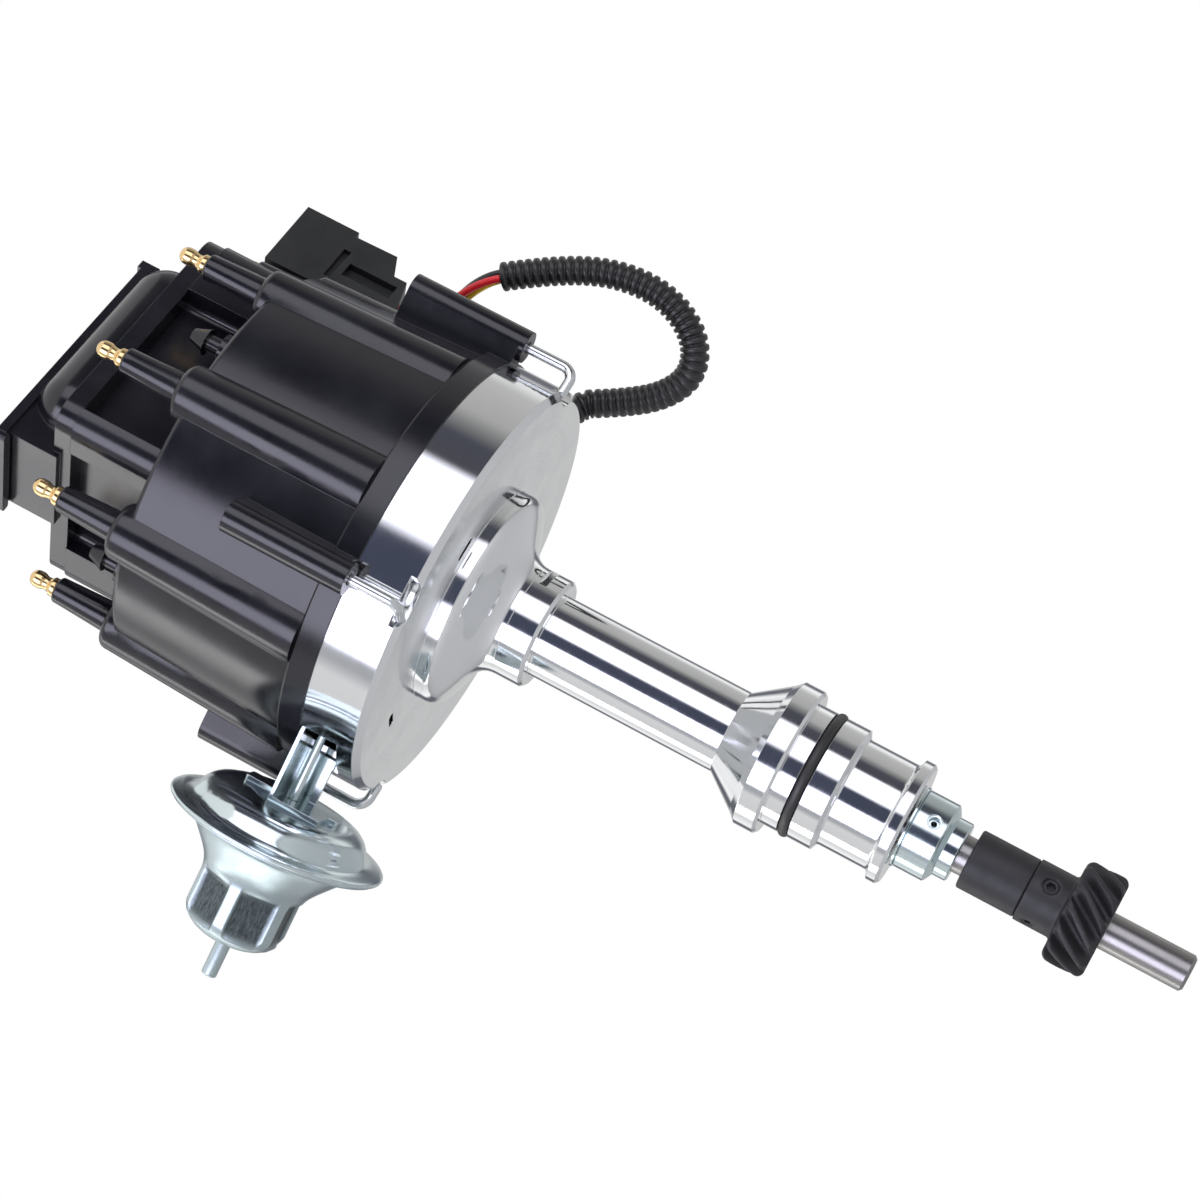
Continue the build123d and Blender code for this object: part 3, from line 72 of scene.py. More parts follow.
class NodeSheet:
    """A material's node tree, with short calls that add nodes and join them."""

    def __init__(self, name: str) -> None:
        """Starts a material with one principled shader.

        Args:
            name: The material's name.
        """
        self.material = bpy.data.materials.new(name)
        self.material.use_nodes = True
        self.tree = self.material.node_tree
        self.tree.nodes.clear()
        self.output = self.tree.nodes.new("ShaderNodeOutputMaterial")
        self.shader = self.tree.nodes.new("ShaderNodeBsdfPrincipled")
        self.tree.links.new(self.shader.outputs["BSDF"], self.output.inputs["Surface"])

    def feed(self, socket: bpy.types.NodeSocket, value: object) -> None:
        """Links a socket, or gives it a plain value.

        Args:
            socket: The input.
            value: A socket to link from, or a value.
        """
        if isinstance(value, bpy.types.NodeSocket):
            self.tree.links.new(value, socket)
        else:
            socket.default_value = value

    def put(self, kind: str, joins: dict | None = None, **settings: object) -> bpy.types.Node:
        """Adds a node.

        Args:
            kind: The node's type.
            joins: Its inputs: a socket to link from, or a plain value.
            settings: Its properties.

        Returns:
            The new node.
        """
        node = self.tree.nodes.new(kind)
        for key, value in settings.items():
            setattr(node, key, value)
        for key, value in (joins or {}).items():
            self.feed(node.inputs[key], value)
        return node

    def set(self, **values: object) -> None:
        """Sets or links the shader's sockets, named with underscores for spaces."""
        for key, value in values.items():
            self.feed(self.shader.inputs[key.replace("_", " ")], value)

    def math(self, operation: str, a: object, b: object = 0.0) -> bpy.types.NodeSocket:
        """One arithmetic step; returns its result."""
        return self.put("ShaderNodeMath", {0: a, 1: b}, operation=operation).outputs[0]

    def total(self, *values: object) -> bpy.types.NodeSocket:
        """Adds up several values.

        Args:
            values: Sockets or plain values, at least two.

        Returns:
            Their sum.
        """
        result = values[0]
        for value in values[1:]:
            result = self.math("ADD", result, value)
        return result

    def place(self) -> bpy.types.NodeSocket:
        """The point on the object, in metres."""
        return self.put("ShaderNodeTexCoord").outputs["Object"]

    def noise(
        self, point: object, scale: float, detail: float = 3.0, rough: float = 0.55
    ) -> bpy.types.NodeSocket:
        """A noise value at the point; scale counts features a metre."""
        joins = {"Vector": point, "Scale": scale, "Detail": detail, "Roughness": rough}
        return self.put("ShaderNodeTexNoise", joins).outputs[0]

    def span(self, value: object, low: float, high: float) -> bpy.types.NodeSocket:
        """Stretches a noise value, which keeps near its middle, to run from low to high."""
        joins = {"Value": value, "From Min": 0.3, "From Max": 0.7, "To Min": low, "To Max": high}
        return self.put("ShaderNodeMapRange", joins).outputs[0]

    def blend(self, value: object, first: object, second: object) -> bpy.types.NodeSocket:
        """Mixes two colours.

        Args:
            value: The second colour's share, from 0 to 1.
            first: A colour, or a socket that gives one.
            second: The other.

        Returns:
            The mixed colour.
        """
        mix = self.put("ShaderNodeMix", {"Factor": value}, data_type="RGBA")
        for key, colour in (("A", first), ("B", second)):
            self.feed(mix.inputs[key], (*colour, 1.0) if isinstance(colour, tuple) else colour)
        return mix.outputs["Result"]

    def bump(
        self, height: object, depth: float, strength: float = 1.0, edge: float = 0.35
    ) -> bpy.types.NodeSocket:
        """The normal of a surface with that relief and softly broken edges.

        Args:
            height: The relief.
            depth: Its depth, in metres.
            strength: How much of it shows.
            edge: The radius of the broken edges, in millimetres.

        Returns:
            The normal.
        """
        rounded = self.put("ShaderNodeBevel", {"Radius": edge * MM}, samples=6).outputs[0]
        joins = {"Height": height, "Distance": depth, "Strength": strength, "Normal": rounded}
        return self.put("ShaderNodeBump", joins).outputs["Normal"]


def shaded(colour: Colour, share: float) -> Colour:
    """A colour made darker or lighter by a share of itself."""
    return tuple(share * part for part in colour)


@dataclass(frozen=True)
class TurnedMetal:
    """Metal cut on a lathe: fine rings round the shaft's axis, over a polished ground."""

    name: str
    colour: Colour
    roughness: float
    ring_depth: float
    rings: float = 2200.0
    ring_gloss: float = 0.03
    ring_strength: float = 0.35
    cloud: float = 90.0
    cloud_gloss: tuple[float, float] = (-0.02, 0.03)
    cloud_shade: float = 0.93

    def material(self) -> bpy.types.Material:
        """Builds the finish.

        Returns:
            The material.
        """
        sheet = NodeSheet(self.name)
        point = sheet.place()
        parts = sheet.put("ShaderNodeSeparateXYZ", {0: point}).outputs
        squares = [sheet.math("POWER", parts[axis], 2.0) for axis in (0, 1)]
        from_axis = sheet.math("SQRT", sheet.total(*squares))
        lathe = sheet.put("ShaderNodeCombineXYZ", {"X": from_axis, "Z": parts[2]}).outputs[0]
        rings = sheet.noise(lathe, self.rings, 2.0, 0.7)
        cloud = sheet.noise(point, self.cloud)
        rough = sheet.total(
            sheet.span(rings, -self.ring_gloss, self.ring_gloss),
            sheet.span(cloud, *self.cloud_gloss),
            self.roughness,
        )
        sheet.set(
            Base_Color=sheet.blend(cloud, self.colour, shaded(self.colour, self.cloud_shade)),
            Metallic=1.0,
            Roughness=rough,
            Normal=sheet.bump(rings, self.ring_depth, self.ring_strength),
        )
        return sheet.material


@dataclass(frozen=True)
class PlatedMetal:
    """Pressed or drawn metal, plated: a cloudy tone, with hammer marks where it is pressed, and the
    pressed flats painted dark as painted shade.
    """

    name: str
    colour: Colour
    shade: Colour
    roughness: float
    metallic: float = 1.0
    cloud: float = 70.0
    grain_depth: float = 0.000012
    edge: float = 0.35
    cloud_gloss: tuple[float, float] = (-0.05, 0.06)
    grain: float = 2600.0
    grain_gloss: float = 0.03
    hammer: float = 1500.0
    hammer_stretch: Point = (0.3, 1.0, 1.0)
    hammer_relief: float = 8.0
    # Painted shade on the pressed flats: two shares of the shade colour, streaked by the hammer marks,
    # and how much of the flats it covers.
    pressed_painted_shades: tuple[float, float] = (0.06, 0.34)
    pressed_roughness: float = 0.16
    painted_shade_cover: float = 0.95
    relief_strength: float = 0.4

    def material(self) -> bpy.types.Material:
        """Builds the finish.

        Returns:
            The material.
        """
        sheet = NodeSheet(self.name)
        point = sheet.place()
        cloud = sheet.noise(point, self.cloud, 4.0, 0.6)
        grain = sheet.noise(point, self.grain, 2.0)
        pressed = sheet.put("ShaderNodeAttribute", attribute_name="pressed").outputs["Fac"]
        stretch = {"Vector": point, "Scale": self.hammer_stretch}
        along = sheet.put("ShaderNodeMapping", stretch).outputs[0]
        marks = sheet.span(sheet.noise(along, self.hammer, 3.0, 0.7), 0.0, 1.0)
        hammer = sheet.math("MULTIPLY", marks, pressed)
        rough = sheet.total(
            sheet.span(cloud, *self.cloud_gloss),
            sheet.span(grain, -self.grain_gloss, self.grain_gloss),
            sheet.math("MULTIPLY", pressed, self.pressed_roughness),
            self.roughness,
        )
        plain = sheet.blend(sheet.span(cloud, 0.0, 1.0), self.colour, self.shade)
        # Painted shade: the pressed flats' colour is darkened almost to black, streaked by the
        # hammer-mark noise.
        dark = sheet.blend(hammer, *[shaded(self.shade, share) for share in self.pressed_painted_shades])
        cover = sheet.math("MULTIPLY", pressed, self.painted_shade_cover)
        relief = sheet.total(sheet.math("MULTIPLY", hammer, self.hammer_relief), grain)
        sheet.set(
            Base_Color=sheet.blend(cover, plain, dark),
            Metallic=self.metallic,
            Roughness=rough,
            Normal=sheet.bump(relief, self.grain_depth, self.relief_strength, self.edge),
        )
        return sheet.material


@dataclass(frozen=True)
class MouldedPlastic:
    """Injection moulded plastic: faint flow marks and a fine pebble in the gloss."""

    name: str
    colour: Colour
    roughness: float
    pebble_depth: float = 0.00002
    pebble: float = 1500.0
    pebble_gloss: tuple[float, float] = (-0.03, 0.04)
    pebble_strength: float = 0.25
    flow: float = 45.0
    flow_gloss: float = 0.05
    flow_tone: float = 1.7
    specular: float = 0.55

    def material(self) -> bpy.types.Material:
        """Builds the finish.

        Returns:
            The material.
        """
        sheet = NodeSheet(self.name)
        point = sheet.place()
        flow = sheet.noise(point, self.flow, 3.0, 0.6)
        pebble = sheet.noise(point, self.pebble, 3.0, 0.6)
        rough = sheet.total(
            sheet.span(flow, -self.flow_gloss, self.flow_gloss),
            sheet.span(pebble, *self.pebble_gloss),
            self.roughness,
        )
        lighter = shaded(self.colour, self.flow_tone)
        sheet.set(
            Base_Color=sheet.blend(sheet.span(flow, 0.0, 1.0), self.colour, lighter),
            Roughness=rough,
            Specular_IOR_Level=self.specular,
            Normal=sheet.bump(pebble, self.pebble_depth, self.pebble_strength),
        )
        return sheet.material


FINISHES = (
    TurnedMetal("polished_aluminium", (0.86, 0.87, 0.88), 0.085, 0.000012),
    TurnedMetal("terminal_brass", (0.83, 0.60, 0.30), 0.17, 0.000008, rings=3200.0),
    TurnedMetal("bushing_bronze", (0.60, 0.40, 0.22), 0.30, 0.00001),
    TurnedMetal("bare_steel", (0.31, 0.30, 0.295), 0.31, 0.00002, rings=1600.0),
    PlatedMetal("zinc_plate", (0.66, 0.74, 0.755), (0.56, 0.65, 0.67), 0.16),
    PlatedMetal("drawn_zinc", (0.50, 0.58, 0.60), (0.42, 0.50, 0.52), 0.33),
    PlatedMetal("core_steel", (0.34, 0.34, 0.35), (0.25, 0.25, 0.26), 0.38),
    PlatedMetal("bright_wire", (0.74, 0.76, 0.77), (0.66, 0.68, 0.69), 0.16, cloud=200.0),
    PlatedMetal("carbon", (0.045, 0.045, 0.05), (0.035, 0.035, 0.04), 0.5, metallic=0.1),
    PlatedMetal("black_steel", (0.030, 0.030, 0.034), (0.022, 0.022, 0.026), 0.50,
                metallic=0.35, cloud=160.0, grain_depth=0.00004, edge=0.8),
    MouldedPlastic("black_plastic", (0.0070, 0.0070, 0.0105), 0.19, 0.00006, 1900.0),
    MouldedPlastic("connector_plastic", (0.012, 0.0125, 0.0135), 0.40, 0.00004, 900.0),
    MouldedPlastic("seal_rubber", (0.012, 0.012, 0.013), 0.42, pebble=1800.0),
    MouldedPlastic("loom_plastic", (0.011, 0.011, 0.012), 0.33, pebble=1800.0),
    MouldedPlastic("red_insulation", (0.52, 0.012, 0.02), 0.30),
    MouldedPlastic("yellow_insulation", (0.62, 0.42, 0.02), 0.30),
    MouldedPlastic("black_insulation", (0.012, 0.012, 0.012), 0.30),
    MouldedPlastic("winding_resin", (0.11, 0.045, 0.02), 0.28),
    MouldedPlastic("rotor_plastic", (0.012, 0.012, 0.014), 0.30),
)


@dataclass
class PaintShop:
    """Builds every finish once and puts it on the pieces that name it."""

    finishes: dict[str, bpy.types.Material]

    @classmethod
    def open(cls) -> "PaintShop":
        """Builds all the finishes."""
        return cls({finish.name: finish.material() for finish in FINISHES})

    def dress(self, piece: bpy.types.Object, slot: str, finish: str = "") -> None:
        """Gives a new piece one finish: the slot's own, unless another finish is given.

        Args:
            piece: The new piece.
            slot: The slot it takes.
            finish: The finish, where it isn't the slot's own.
        """
        piece.data.materials.clear()
        piece.data.materials.append(self.finishes[finish or slot])

    def dress_nodes(self) -> None:
        """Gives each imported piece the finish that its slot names."""
        for name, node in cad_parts.items():
            for slot in node.material_slots:
                wanted = slot.material.name.split(".")[0] if slot.material else ""
                if wanted in self.finishes:
                    slot.material = self.finishes[wanted]
            log.info("finish on %s", name)


@dataclass
class Workshop:
    """Makes pieces from meshes and hands them to their body."""

    paint: PaintShop

    def piece(
        self, name: str, mesh: bmesh.types.BMesh, slot: str, body: Body, *nodes: str
    ) -> bpy.types.Object:
        """Finishes a new piece.

        Args:
            name: The piece's name.
            mesh: Its shape, in metres, where it belongs.
            slot: The material slot it takes.
            body: The body it moves with.
            nodes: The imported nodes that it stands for.

        Returns:
            The new object.
        """
        data = bpy.data.meshes.new(name)
        mesh.to_mesh(data)
        mesh.free()
        for face in data.polygons:
            face.use_smooth = True
        kept = data.attributes.get("kept_normal")
        if kept:
            normals = [tuple(corner.vector) for corner in kept.data]
            data.attributes.remove(kept)
            data.normals_split_custom_set(normals)
        obj = bpy.data.objects.new(name, data)
        bpy.context.scene.collection.objects.link(obj)
        self.paint.dress(obj, slot)
        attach(obj, body.value)
        if nodes:
            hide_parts(*nodes)
        log.info("%s rides on %s", name, body.value)
        return obj


def evaluated_mesh(obj: bpy.types.Object) -> bpy.types.Mesh:
    """The mesh of an object with its modifiers or its curve worked out."""
    graph = bpy.context.evaluated_depsgraph_get()
    return bpy.data.meshes.new_from_object(obj.evaluated_get(graph), depsgraph=graph)


def smooth_curve(name: str, points: list[Vector]) -> bpy.types.Object:
    """A smooth open curve with those control points.

    Args:
        name: The curve's name.
        points: Its control points, in metres.

    Returns:
        The curve object, linked to the scene.
    """
    curve = bpy.data.curves.new(name, "CURVE")
    curve.dimensions = "3D"
    curve.resolution_u = 24
    spline = curve.splines.new("NURBS")
    spline.points.add(len(points) - 1)
    for knot, point in zip(spline.points, points):
        knot.co = (*point, 1.0)
    spline.order_u = 3
    spline.use_endpoint_u = True
    obj = bpy.data.objects.new(name, curve)
    bpy.context.scene.collection.objects.link(obj)
    return obj


def curve_points(curve: bpy.types.Object) -> list[Vector]:
    """The points along a curve that has no thickness yet."""
    return [vertex.co.copy() for vertex in evaluated_mesh(curve).vertices]


def run_of(points: list[Vector]) -> float:
    """The length of a chain of points."""
    return sum((b - a).length for a, b in zip(points, points[1:]))


def turned(points: Outline, steps: int, place: Matrix | None = None) -> bmesh.types.BMesh:
    """Turns an outline about the Z axis.

    Args:
        points: Distances along the axis, each with a radius, in millimetres.
        steps: The number of sides.
        place: Where the axis belongs, if not where it was turned.

    Returns:
        The mesh, in metres.
    """
    shape = bmesh.new()
    chain = [shape.verts.new((radius * MM, 0.0, along * MM)) for along, radius in points]
    for a, b in zip(chain, chain[1:]):
        shape.edges.new((a, b))
    bmesh.ops.spin(shape, geom=chain + shape.edges[:], cent=(0, 0, 0), axis=(0, 0, 1), angle=tau,
                   steps=steps, use_merge=True)
    bmesh.ops.remove_doubles(shape, verts=shape.verts, dist=MERGE)
    bmesh.ops.recalc_face_normals(shape, faces=shape.faces)
    bmesh.ops.transform(shape, matrix=place or Matrix.Identity(4), verts=shape.verts)
    return shape


def add_shape(whole: bmesh.types.BMesh, part: bmesh.types.BMesh) -> None:
    """Adds one mesh to another, without joining them.

    Args:
        whole: The mesh that grows.
        part: The mesh that is added, and freed.
    """
    carrier = bpy.data.meshes.new("carrier")
    part.to_mesh(carrier)
    part.free()
    whole.from_mesh(carrier)
    bpy.data.meshes.remove(carrier)


@dataclass(frozen=True)
class Wire:
    """One lead: where it leaves the loom's mouth, and the hole in the connector it goes to."""

    name: str
    slot: str
    shift: tuple[float, float]
    hole: tuple[float, float]


@dataclass
class Harness:
    """The corrugated loom from the bowl to the connector, and its three wires."""

    shop: Workshop
    loom_r: float = 4.55 * MM
    valley_r: float = 3.6 * MM
    wall: float = 0.7 * MM
    mouth_depth: float = 12.0 * MM
    rib_pitch: float = 2.6 * MM
    rib_round: float = 0.2 * MM
    loom_sides: int = 28
    grommet_angle: float = 41.0
    grommet_z: float = 117.5
    grommet_rs: tuple[float, float] = (59.5, 78.2)
    loop: tuple[Point, ...] = (
        (66.0, 51.0, 104.0), (74.5, 48.0, 91.5), (85.0, 45.0, 85.5), (96.0, 43.0, 90.0),
        (103.0, 41.0, 103.0), (102.5, 39.5, 120.0), (95.0, 38.5, 137.5), (85.5, 38.0, 151.5),
    )
    wire_r: float = 1.2 * MM
    wire_gap: float = 0.05
    wire_straight: float = 7.0
    wire_bow: tuple[float, float] = (5.0, -2.0)
    wire_levels: tuple[float, float, float] = (165.5, 171.5, 181.0)
    wires: tuple[Wire, ...] = (
        Wire("red_wire", "red_insulation", (-2.6, 0.6), (62.0, 42.0)),
        Wire("black_wire", "black_insulation", (0.0, -1.2), (60.0, 46.0)),
        Wire("yellow_wire", "yellow_insulation", (2.6, 0.6), (57.5, 49.5)),
    )

    def loom_points(self) -> list[Vector]:
        """Lays out the loom's route.

        Returns:
            Its points, from inside the grommet to its open end, in metres.
        """
        out = Vector((cos(radians(self.grommet_angle)), sin(radians(self.grommet_angle)), 0.0))
        level = Vector((0.0, 0.0, self.grommet_z))
        through = [(out * radius + level) * MM for radius in self.grommet_rs]
        return through + [mm(*point) for point in self.loop]

    def build(self) -> None:
        """Builds the loom, then each wire from its place in the loom's mouth."""
        points = self.loom_points()
        self.build_loom(points)
        ahead = (points[-1] - points[-2]).normalized()
        across = Vector((0.0, 1.0, 0.0))
        across = (across - ahead * across.dot(ahead)).normalized()
        up = ahead.cross(across)
        for wire in self.wires:
            shift = across * wire.shift[0] + up * wire.shift[1] + ahead * self.wire_gap
            self.build_wire(wire, points[-1] + shift * MM, ahead)

    def loom_outline(self, length: float) -> list[tuple[float, float]]:
        """Draws the loom's ribs and its open mouth.

        Args:
            length: The loom's length, in metres.

        Returns:
            Distances along the loom, each with a radius, in metres.
        """
        ribs = ceil(length / self.rib_pitch)
        pitch = length / ribs
        flank = self.loom_r - self.rib_round
        rib = (
            (0.0, self.valley_r), (0.22, self.valley_r), (0.34, flank),
            (0.46, self.loom_r), (0.78, self.loom_r), (0.90, flank),
        )
        outline = [((number + share) * pitch, radius)
                   for number in range(ribs) for share, radius in rib]
        inner = self.valley_r - self.wall
        return outline + [(length, self.valley_r), (length, inner), (length - self.mouth_depth, inner)]

    def build_loom(self, points: list[Vector]) -> None:
        """Turns a ribbed tube on the X axis and bends it along the route.

        Args:
            points: The route's control points, in metres.
        """
        route = smooth_curve("loom_route", points)
        path = curve_points(route)
        length = run_of(path)
        tube = bmesh.new()
        chain = [tube.verts.new((along, 0.0, radius)) for along, radius in self.loom_outline(length)]
        for a, b in zip(chain, chain[1:]):
            tube.edges.new((a, b))
        bmesh.ops.spin(tube, geom=chain + tube.edges[:], cent=(0, 0, 0), axis=(1, 0, 0), angle=tau,
                       steps=self.loom_sides, use_merge=True)
        bmesh.ops.remove_doubles(tube, verts=tube.verts, dist=MERGE)
        bmesh.ops.recalc_face_normals(tube, faces=tube.faces)
        data = bpy.data.meshes.new("loom_straight")
        tube.to_mesh(data)
        tube.free()
        straight = bpy.data.objects.new("loom_straight", data)
        bpy.context.scene.collection.objects.link(straight)
        bend = straight.modifiers.new("Route", "CURVE")
        bend.object = route
        bend.deform_axis = "POS_X"
        bpy.context.view_layer.update()
        bent = bmesh.new()
        bent.from_mesh(evaluated_mesh(straight))
        bpy.data.objects.remove(straight)
        bpy.data.objects.remove(route)
        loom = self.shop.piece("ribbed_loom", bent, "loom_plastic", Body.HOUSING, "harness_loom")

    def build_wire(self, wire: Wire, start: Vector, ahead: Vector) -> None:
        """Builds one wire from the loom's mouth up into the connector.

        Args:
            wire: The wire.
            start: Where it leaves the mouth, in metres.
            ahead: The way the mouth points.
        """
        x, y = wire.hole
        bow, entry, top = self.wire_levels
        points = [
            start,
            start + ahead * self.wire_straight * MM,
            mm(x + self.wire_bow[0], y + self.wire_bow[1], bow),
            mm(x, y, entry),
            mm(x, y, top),
        ]
        lead = smooth_curve(f"{wire.name}_lead", points)
        length = run_of(curve_points(lead))
        lead.data.bevel_depth = self.wire_r
        lead.data.bevel_resolution = 6
        lead.data.use_fill_caps = True
        self.shop.paint.dress(lead, wire.slot)
        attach(lead, Body.HOUSING.value)
        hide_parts(wire.name)
        log.info("%s, %.1f mm long", wire.name, length / MM)


@dataclass
class Terminals:
    """The eight brass terminals: a pin with a collar, a waist and a rounded head."""

    shop: Workshop
    circle_r: float = 58.04
    first_angle: float = 22.5
    count: int = 8
    sides: int = 40
    pin: Outline = (
        (151.0, 0.0), (151.0, 1.9), (151.3, 2.1), (218.3, 2.1), (218.3, 2.85), (218.45, 3.0),
        (220.0, 3.0), (220.2, 2.85), (220.5, 2.5), (221.0, 2.2), (221.6, 2.08), (222.3, 2.1),
        (222.8, 2.25), (223.2, 2.45), (223.6, 2.58), (224.1, 2.65), (225.1, 2.65), (225.7, 2.58),
        (226.3, 2.35), (226.9, 1.9), (227.3, 1.4), (227.55, 0.8), (227.7, 0.0),
    )

    def build(self) -> None:
        """Turns one terminal after another round the cap."""
        merged = bmesh.new()
        for number in range(self.count):
            angle = radians(self.first_angle + 360.0 / self.count * number)
            centre = mm(self.circle_r * cos(angle), self.circle_r * sin(angle), 0.0)
            add_shape(merged, turned(self.pin, self.sides, Matrix.Translation(centre)))
        self.shop.piece("turned_terminals", merged, "terminal_brass", Body.HOUSING, "plug_terminals")


@dataclass
class Canister:
    """The vacuum canister: a pressed front with round shoulders and a rear with six panels."""

    shop: Workshop
    axis_y: float = -35.0
    axis_z: float = 122.0
    front_sides: int = 192
    rear_sides: int = 360
    drum_r: float = 15.75
    drum_start: float = 112.0
    drum_step: float = 0.8
    drum_rows: int = 14
    panel_pitch: float = 60.0
    panel_ends: tuple[float, float] = (99.5, 115.5)
    panel_ramps: tuple[float, float] = (1.6, 3.0)
    panel_flat: float = 13.3
    panel_half: float = 24.0
    panel_side: float = 4.0
    least_r: float = 9.0
    front: Outline = (
        (75.0, 1.9), (73.9, 1.9), (73.9, 13.0), (73.92, 17.0), (74.05, 19.6), (74.45, 21.8),
        (75.15, 23.6), (76.2, 25.0), (77.5, 26.0), (78.9, 26.7), (80.1, 27.25), (81.0, 27.95),
        (81.5, 28.9), (81.8, 30.4), (82.05, 32.4), (82.3, 33.5), (82.7, 33.95), (83.1, 34.0),
        (83.5, 33.85), (83.5, 33.0), (82.95, 32.9), (82.7, 29.5), (81.9, 28.0), (80.6, 26.6),
        (78.6, 25.4), (76.6, 24.0), (75.5, 22.0), (75.05, 19.0), (75.0, 1.9),
    )
    nipple_and_end: Outline = (
        (117.0, 1.3), (131.2, 1.3), (131.2, 1.85), (131.0, 2.2), (130.7, 2.35), (119.4, 2.35),
        (118.9, 2.7), (118.5, 3.6), (118.5, 8.2), (118.2, 9.6), (117.4, 11.4), (116.2, 13.2),
        (114.8, 14.6), (113.2, 15.4),
    )
    cone: Outline = (
        (100.4, 15.9), (99.2, 16.15), (97.8, 16.7), (96.4, 17.5), (95.0, 18.5), (93.5, 19.7),
        (91.8, 21.15), (90.2, 22.5), (88.6, 23.9), (87.2, 25.2), (86.0, 26.6), (85.2, 28.2),
        (84.8, 30.2), (84.6, 32.2), (84.35, 32.8), (83.9, 32.9), (83.5, 32.7),
    )

    def place(self) -> Matrix:
        """Turns the Z axis to run out along -X, on the canister's axis."""
        return Matrix.Translation(mm(0.0, self.axis_y, self.axis_z)) @ Matrix.Rotation(-pi / 2, 4, "Y")

    def build(self) -> None:
        """Builds the front and the rear."""
        front = turned(self.front, self.front_sides, self.place())
        self.shop.piece("canister_front", front, "zinc_plate", Body.HOUSING, "vacuum_front_shell")
        drum = tuple((self.drum_start - self.drum_step * row, self.drum_r)
                     for row in range(self.drum_rows))
        rear = turned(self.nipple_and_end + drum + self.cone, self.rear_sides, self.place())
        self.press_panels(rear)
        piece = self.shop.piece("canister_rear", rear, "zinc_plate", Body.HOUSING, "vacuum_rear_shell")
        self.shop.paint.dress(piece, "zinc_plate", "drawn_zinc")

    def press_panels(self, rear: bmesh.types.BMesh) -> None:
        """Presses six flats into the drum and marks how deep each point went.

        Args:
            rear: The turned rear shell.
        """
        # The depth mark also paints the flats dark in the finish, as painted shade, besides roughening
        # them and drawing their hammer marks.
        pressed = rear.verts.layers.float.new("pressed")
        start, end = self.panel_ends
        for vertex in rear.verts:
            along = -vertex.co.x / MM
            y, z = vertex.co.y / MM - self.axis_y, vertex.co.z / MM - self.axis_z
            radius = (y * y + z * z) ** 0.5
            off = abs(degrees(atan2(z, y)) % self.panel_pitch - self.panel_pitch / 2)
            depth = self.soft((self.panel_half - off) / self.panel_side)
            depth *= self.soft((along - start) / self.panel_ramps[0])
            depth *= self.soft((end - along) / self.panel_ramps[1])
            flat = self.panel_flat / cos(radians(min(off, self.panel_half)))
            if radius > self.least_r and depth > 0.0 and radius > flat:
                share = (radius + (flat - radius) * depth) / radius
                vertex.co.y = (self.axis_y + y * share) * MM
                vertex.co.z = (self.axis_z + z * share) * MM
                vertex[pressed] = depth

    @staticmethod
    def soft(value: float) -> float:
        """An eased step from 0 to 1."""
        held = min(max(value, 0.0), 1.0)
        return held * held * (3.0 - 2.0 * held)


@dataclass
class Springs:
    """The latches' springs and the button's, each wound at one fixed height."""

    shop: Workshop
    wire_r: float = 0.45
    wire_sides: int = 8
    steps: int = 20
    latch_circle_r: float = 73.25
    latch_bearings: tuple[float, ...] = (-90.0, 0.0, 180.0, 90.0)
    latch_coil_r: float = 2.7
    latch_turns: int = 4
    latch_ends: tuple[float, float] = (148.0, 158.4)
    latch_travel: float = 3.0
    button_coil_r: float = 2.9
    button_turns: int = 5
    button_ends: tuple[float, float] = (186.0, 200.0)
    button_travel: float = 1.5

    def build(self) -> None:
        """Builds one spring for each latch, then the button's."""
        low, high = self.latch_ends
        for number, bearing in enumerate(self.latch_bearings, 1):
            angle = radians(bearing)
            foot = mm(self.latch_circle_r * cos(angle), self.latch_circle_r * sin(angle), low)
            coil = self.coil(foot, self.latch_coil_r, high - low, self.latch_turns)
            piece = self.shop.piece(f"latch_coil_{number}", coil, "zinc_plate", Body.HOUSING,
                                    f"latch_spring_{number}")
            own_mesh(piece)
        low, high = self.button_ends
        coil = self.coil(mm(0, 0, low), self.button_coil_r, high - low, self.button_turns)
        piece = self.shop.piece("button_coil", coil, "zinc_plate", Body.HOUSING, "button_spring")
        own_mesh(piece)

    def coil(self, foot: Vector, coil_r: float, height: float, turns: int) -> bmesh.types.BMesh:
        """Winds one spring.

        Args:
            foot: The middle of its lower end, in metres.
            coil_r: The radius of its wire's centre line, in millimetres.
            height: Its free height, in millimetres.
            turns: Its number of turns.

        Returns:
            The mesh, in metres.
        """
        shape = bmesh.new()
        section = Matrix.Translation(mm(coil_r, 0, self.wire_r)) @ Matrix.Rotation(pi / 2, 4, "X")
        bmesh.ops.create_circle(shape, cap_ends=False, segments=self.wire_sides,
                                radius=self.wire_r * MM, matrix=section)
        rise = (height - 2.0 * self.wire_r) / (turns * self.steps)
        bmesh.ops.spin(shape, geom=shape.verts[:] + shape.edges[:], cent=(0, 0, 0), axis=(0, 0, 1),
                       dvec=mm(0, 0, rise), angle=tau * turns, steps=turns * self.steps,
                       use_merge=False)
        bmesh.ops.holes_fill(shape, edges=shape.edges, sides=self.wire_sides)
        bmesh.ops.recalc_face_normals(shape, faces=shape.faces)
        bmesh.ops.translate(shape, vec=foot, verts=shape.verts)
        return shape


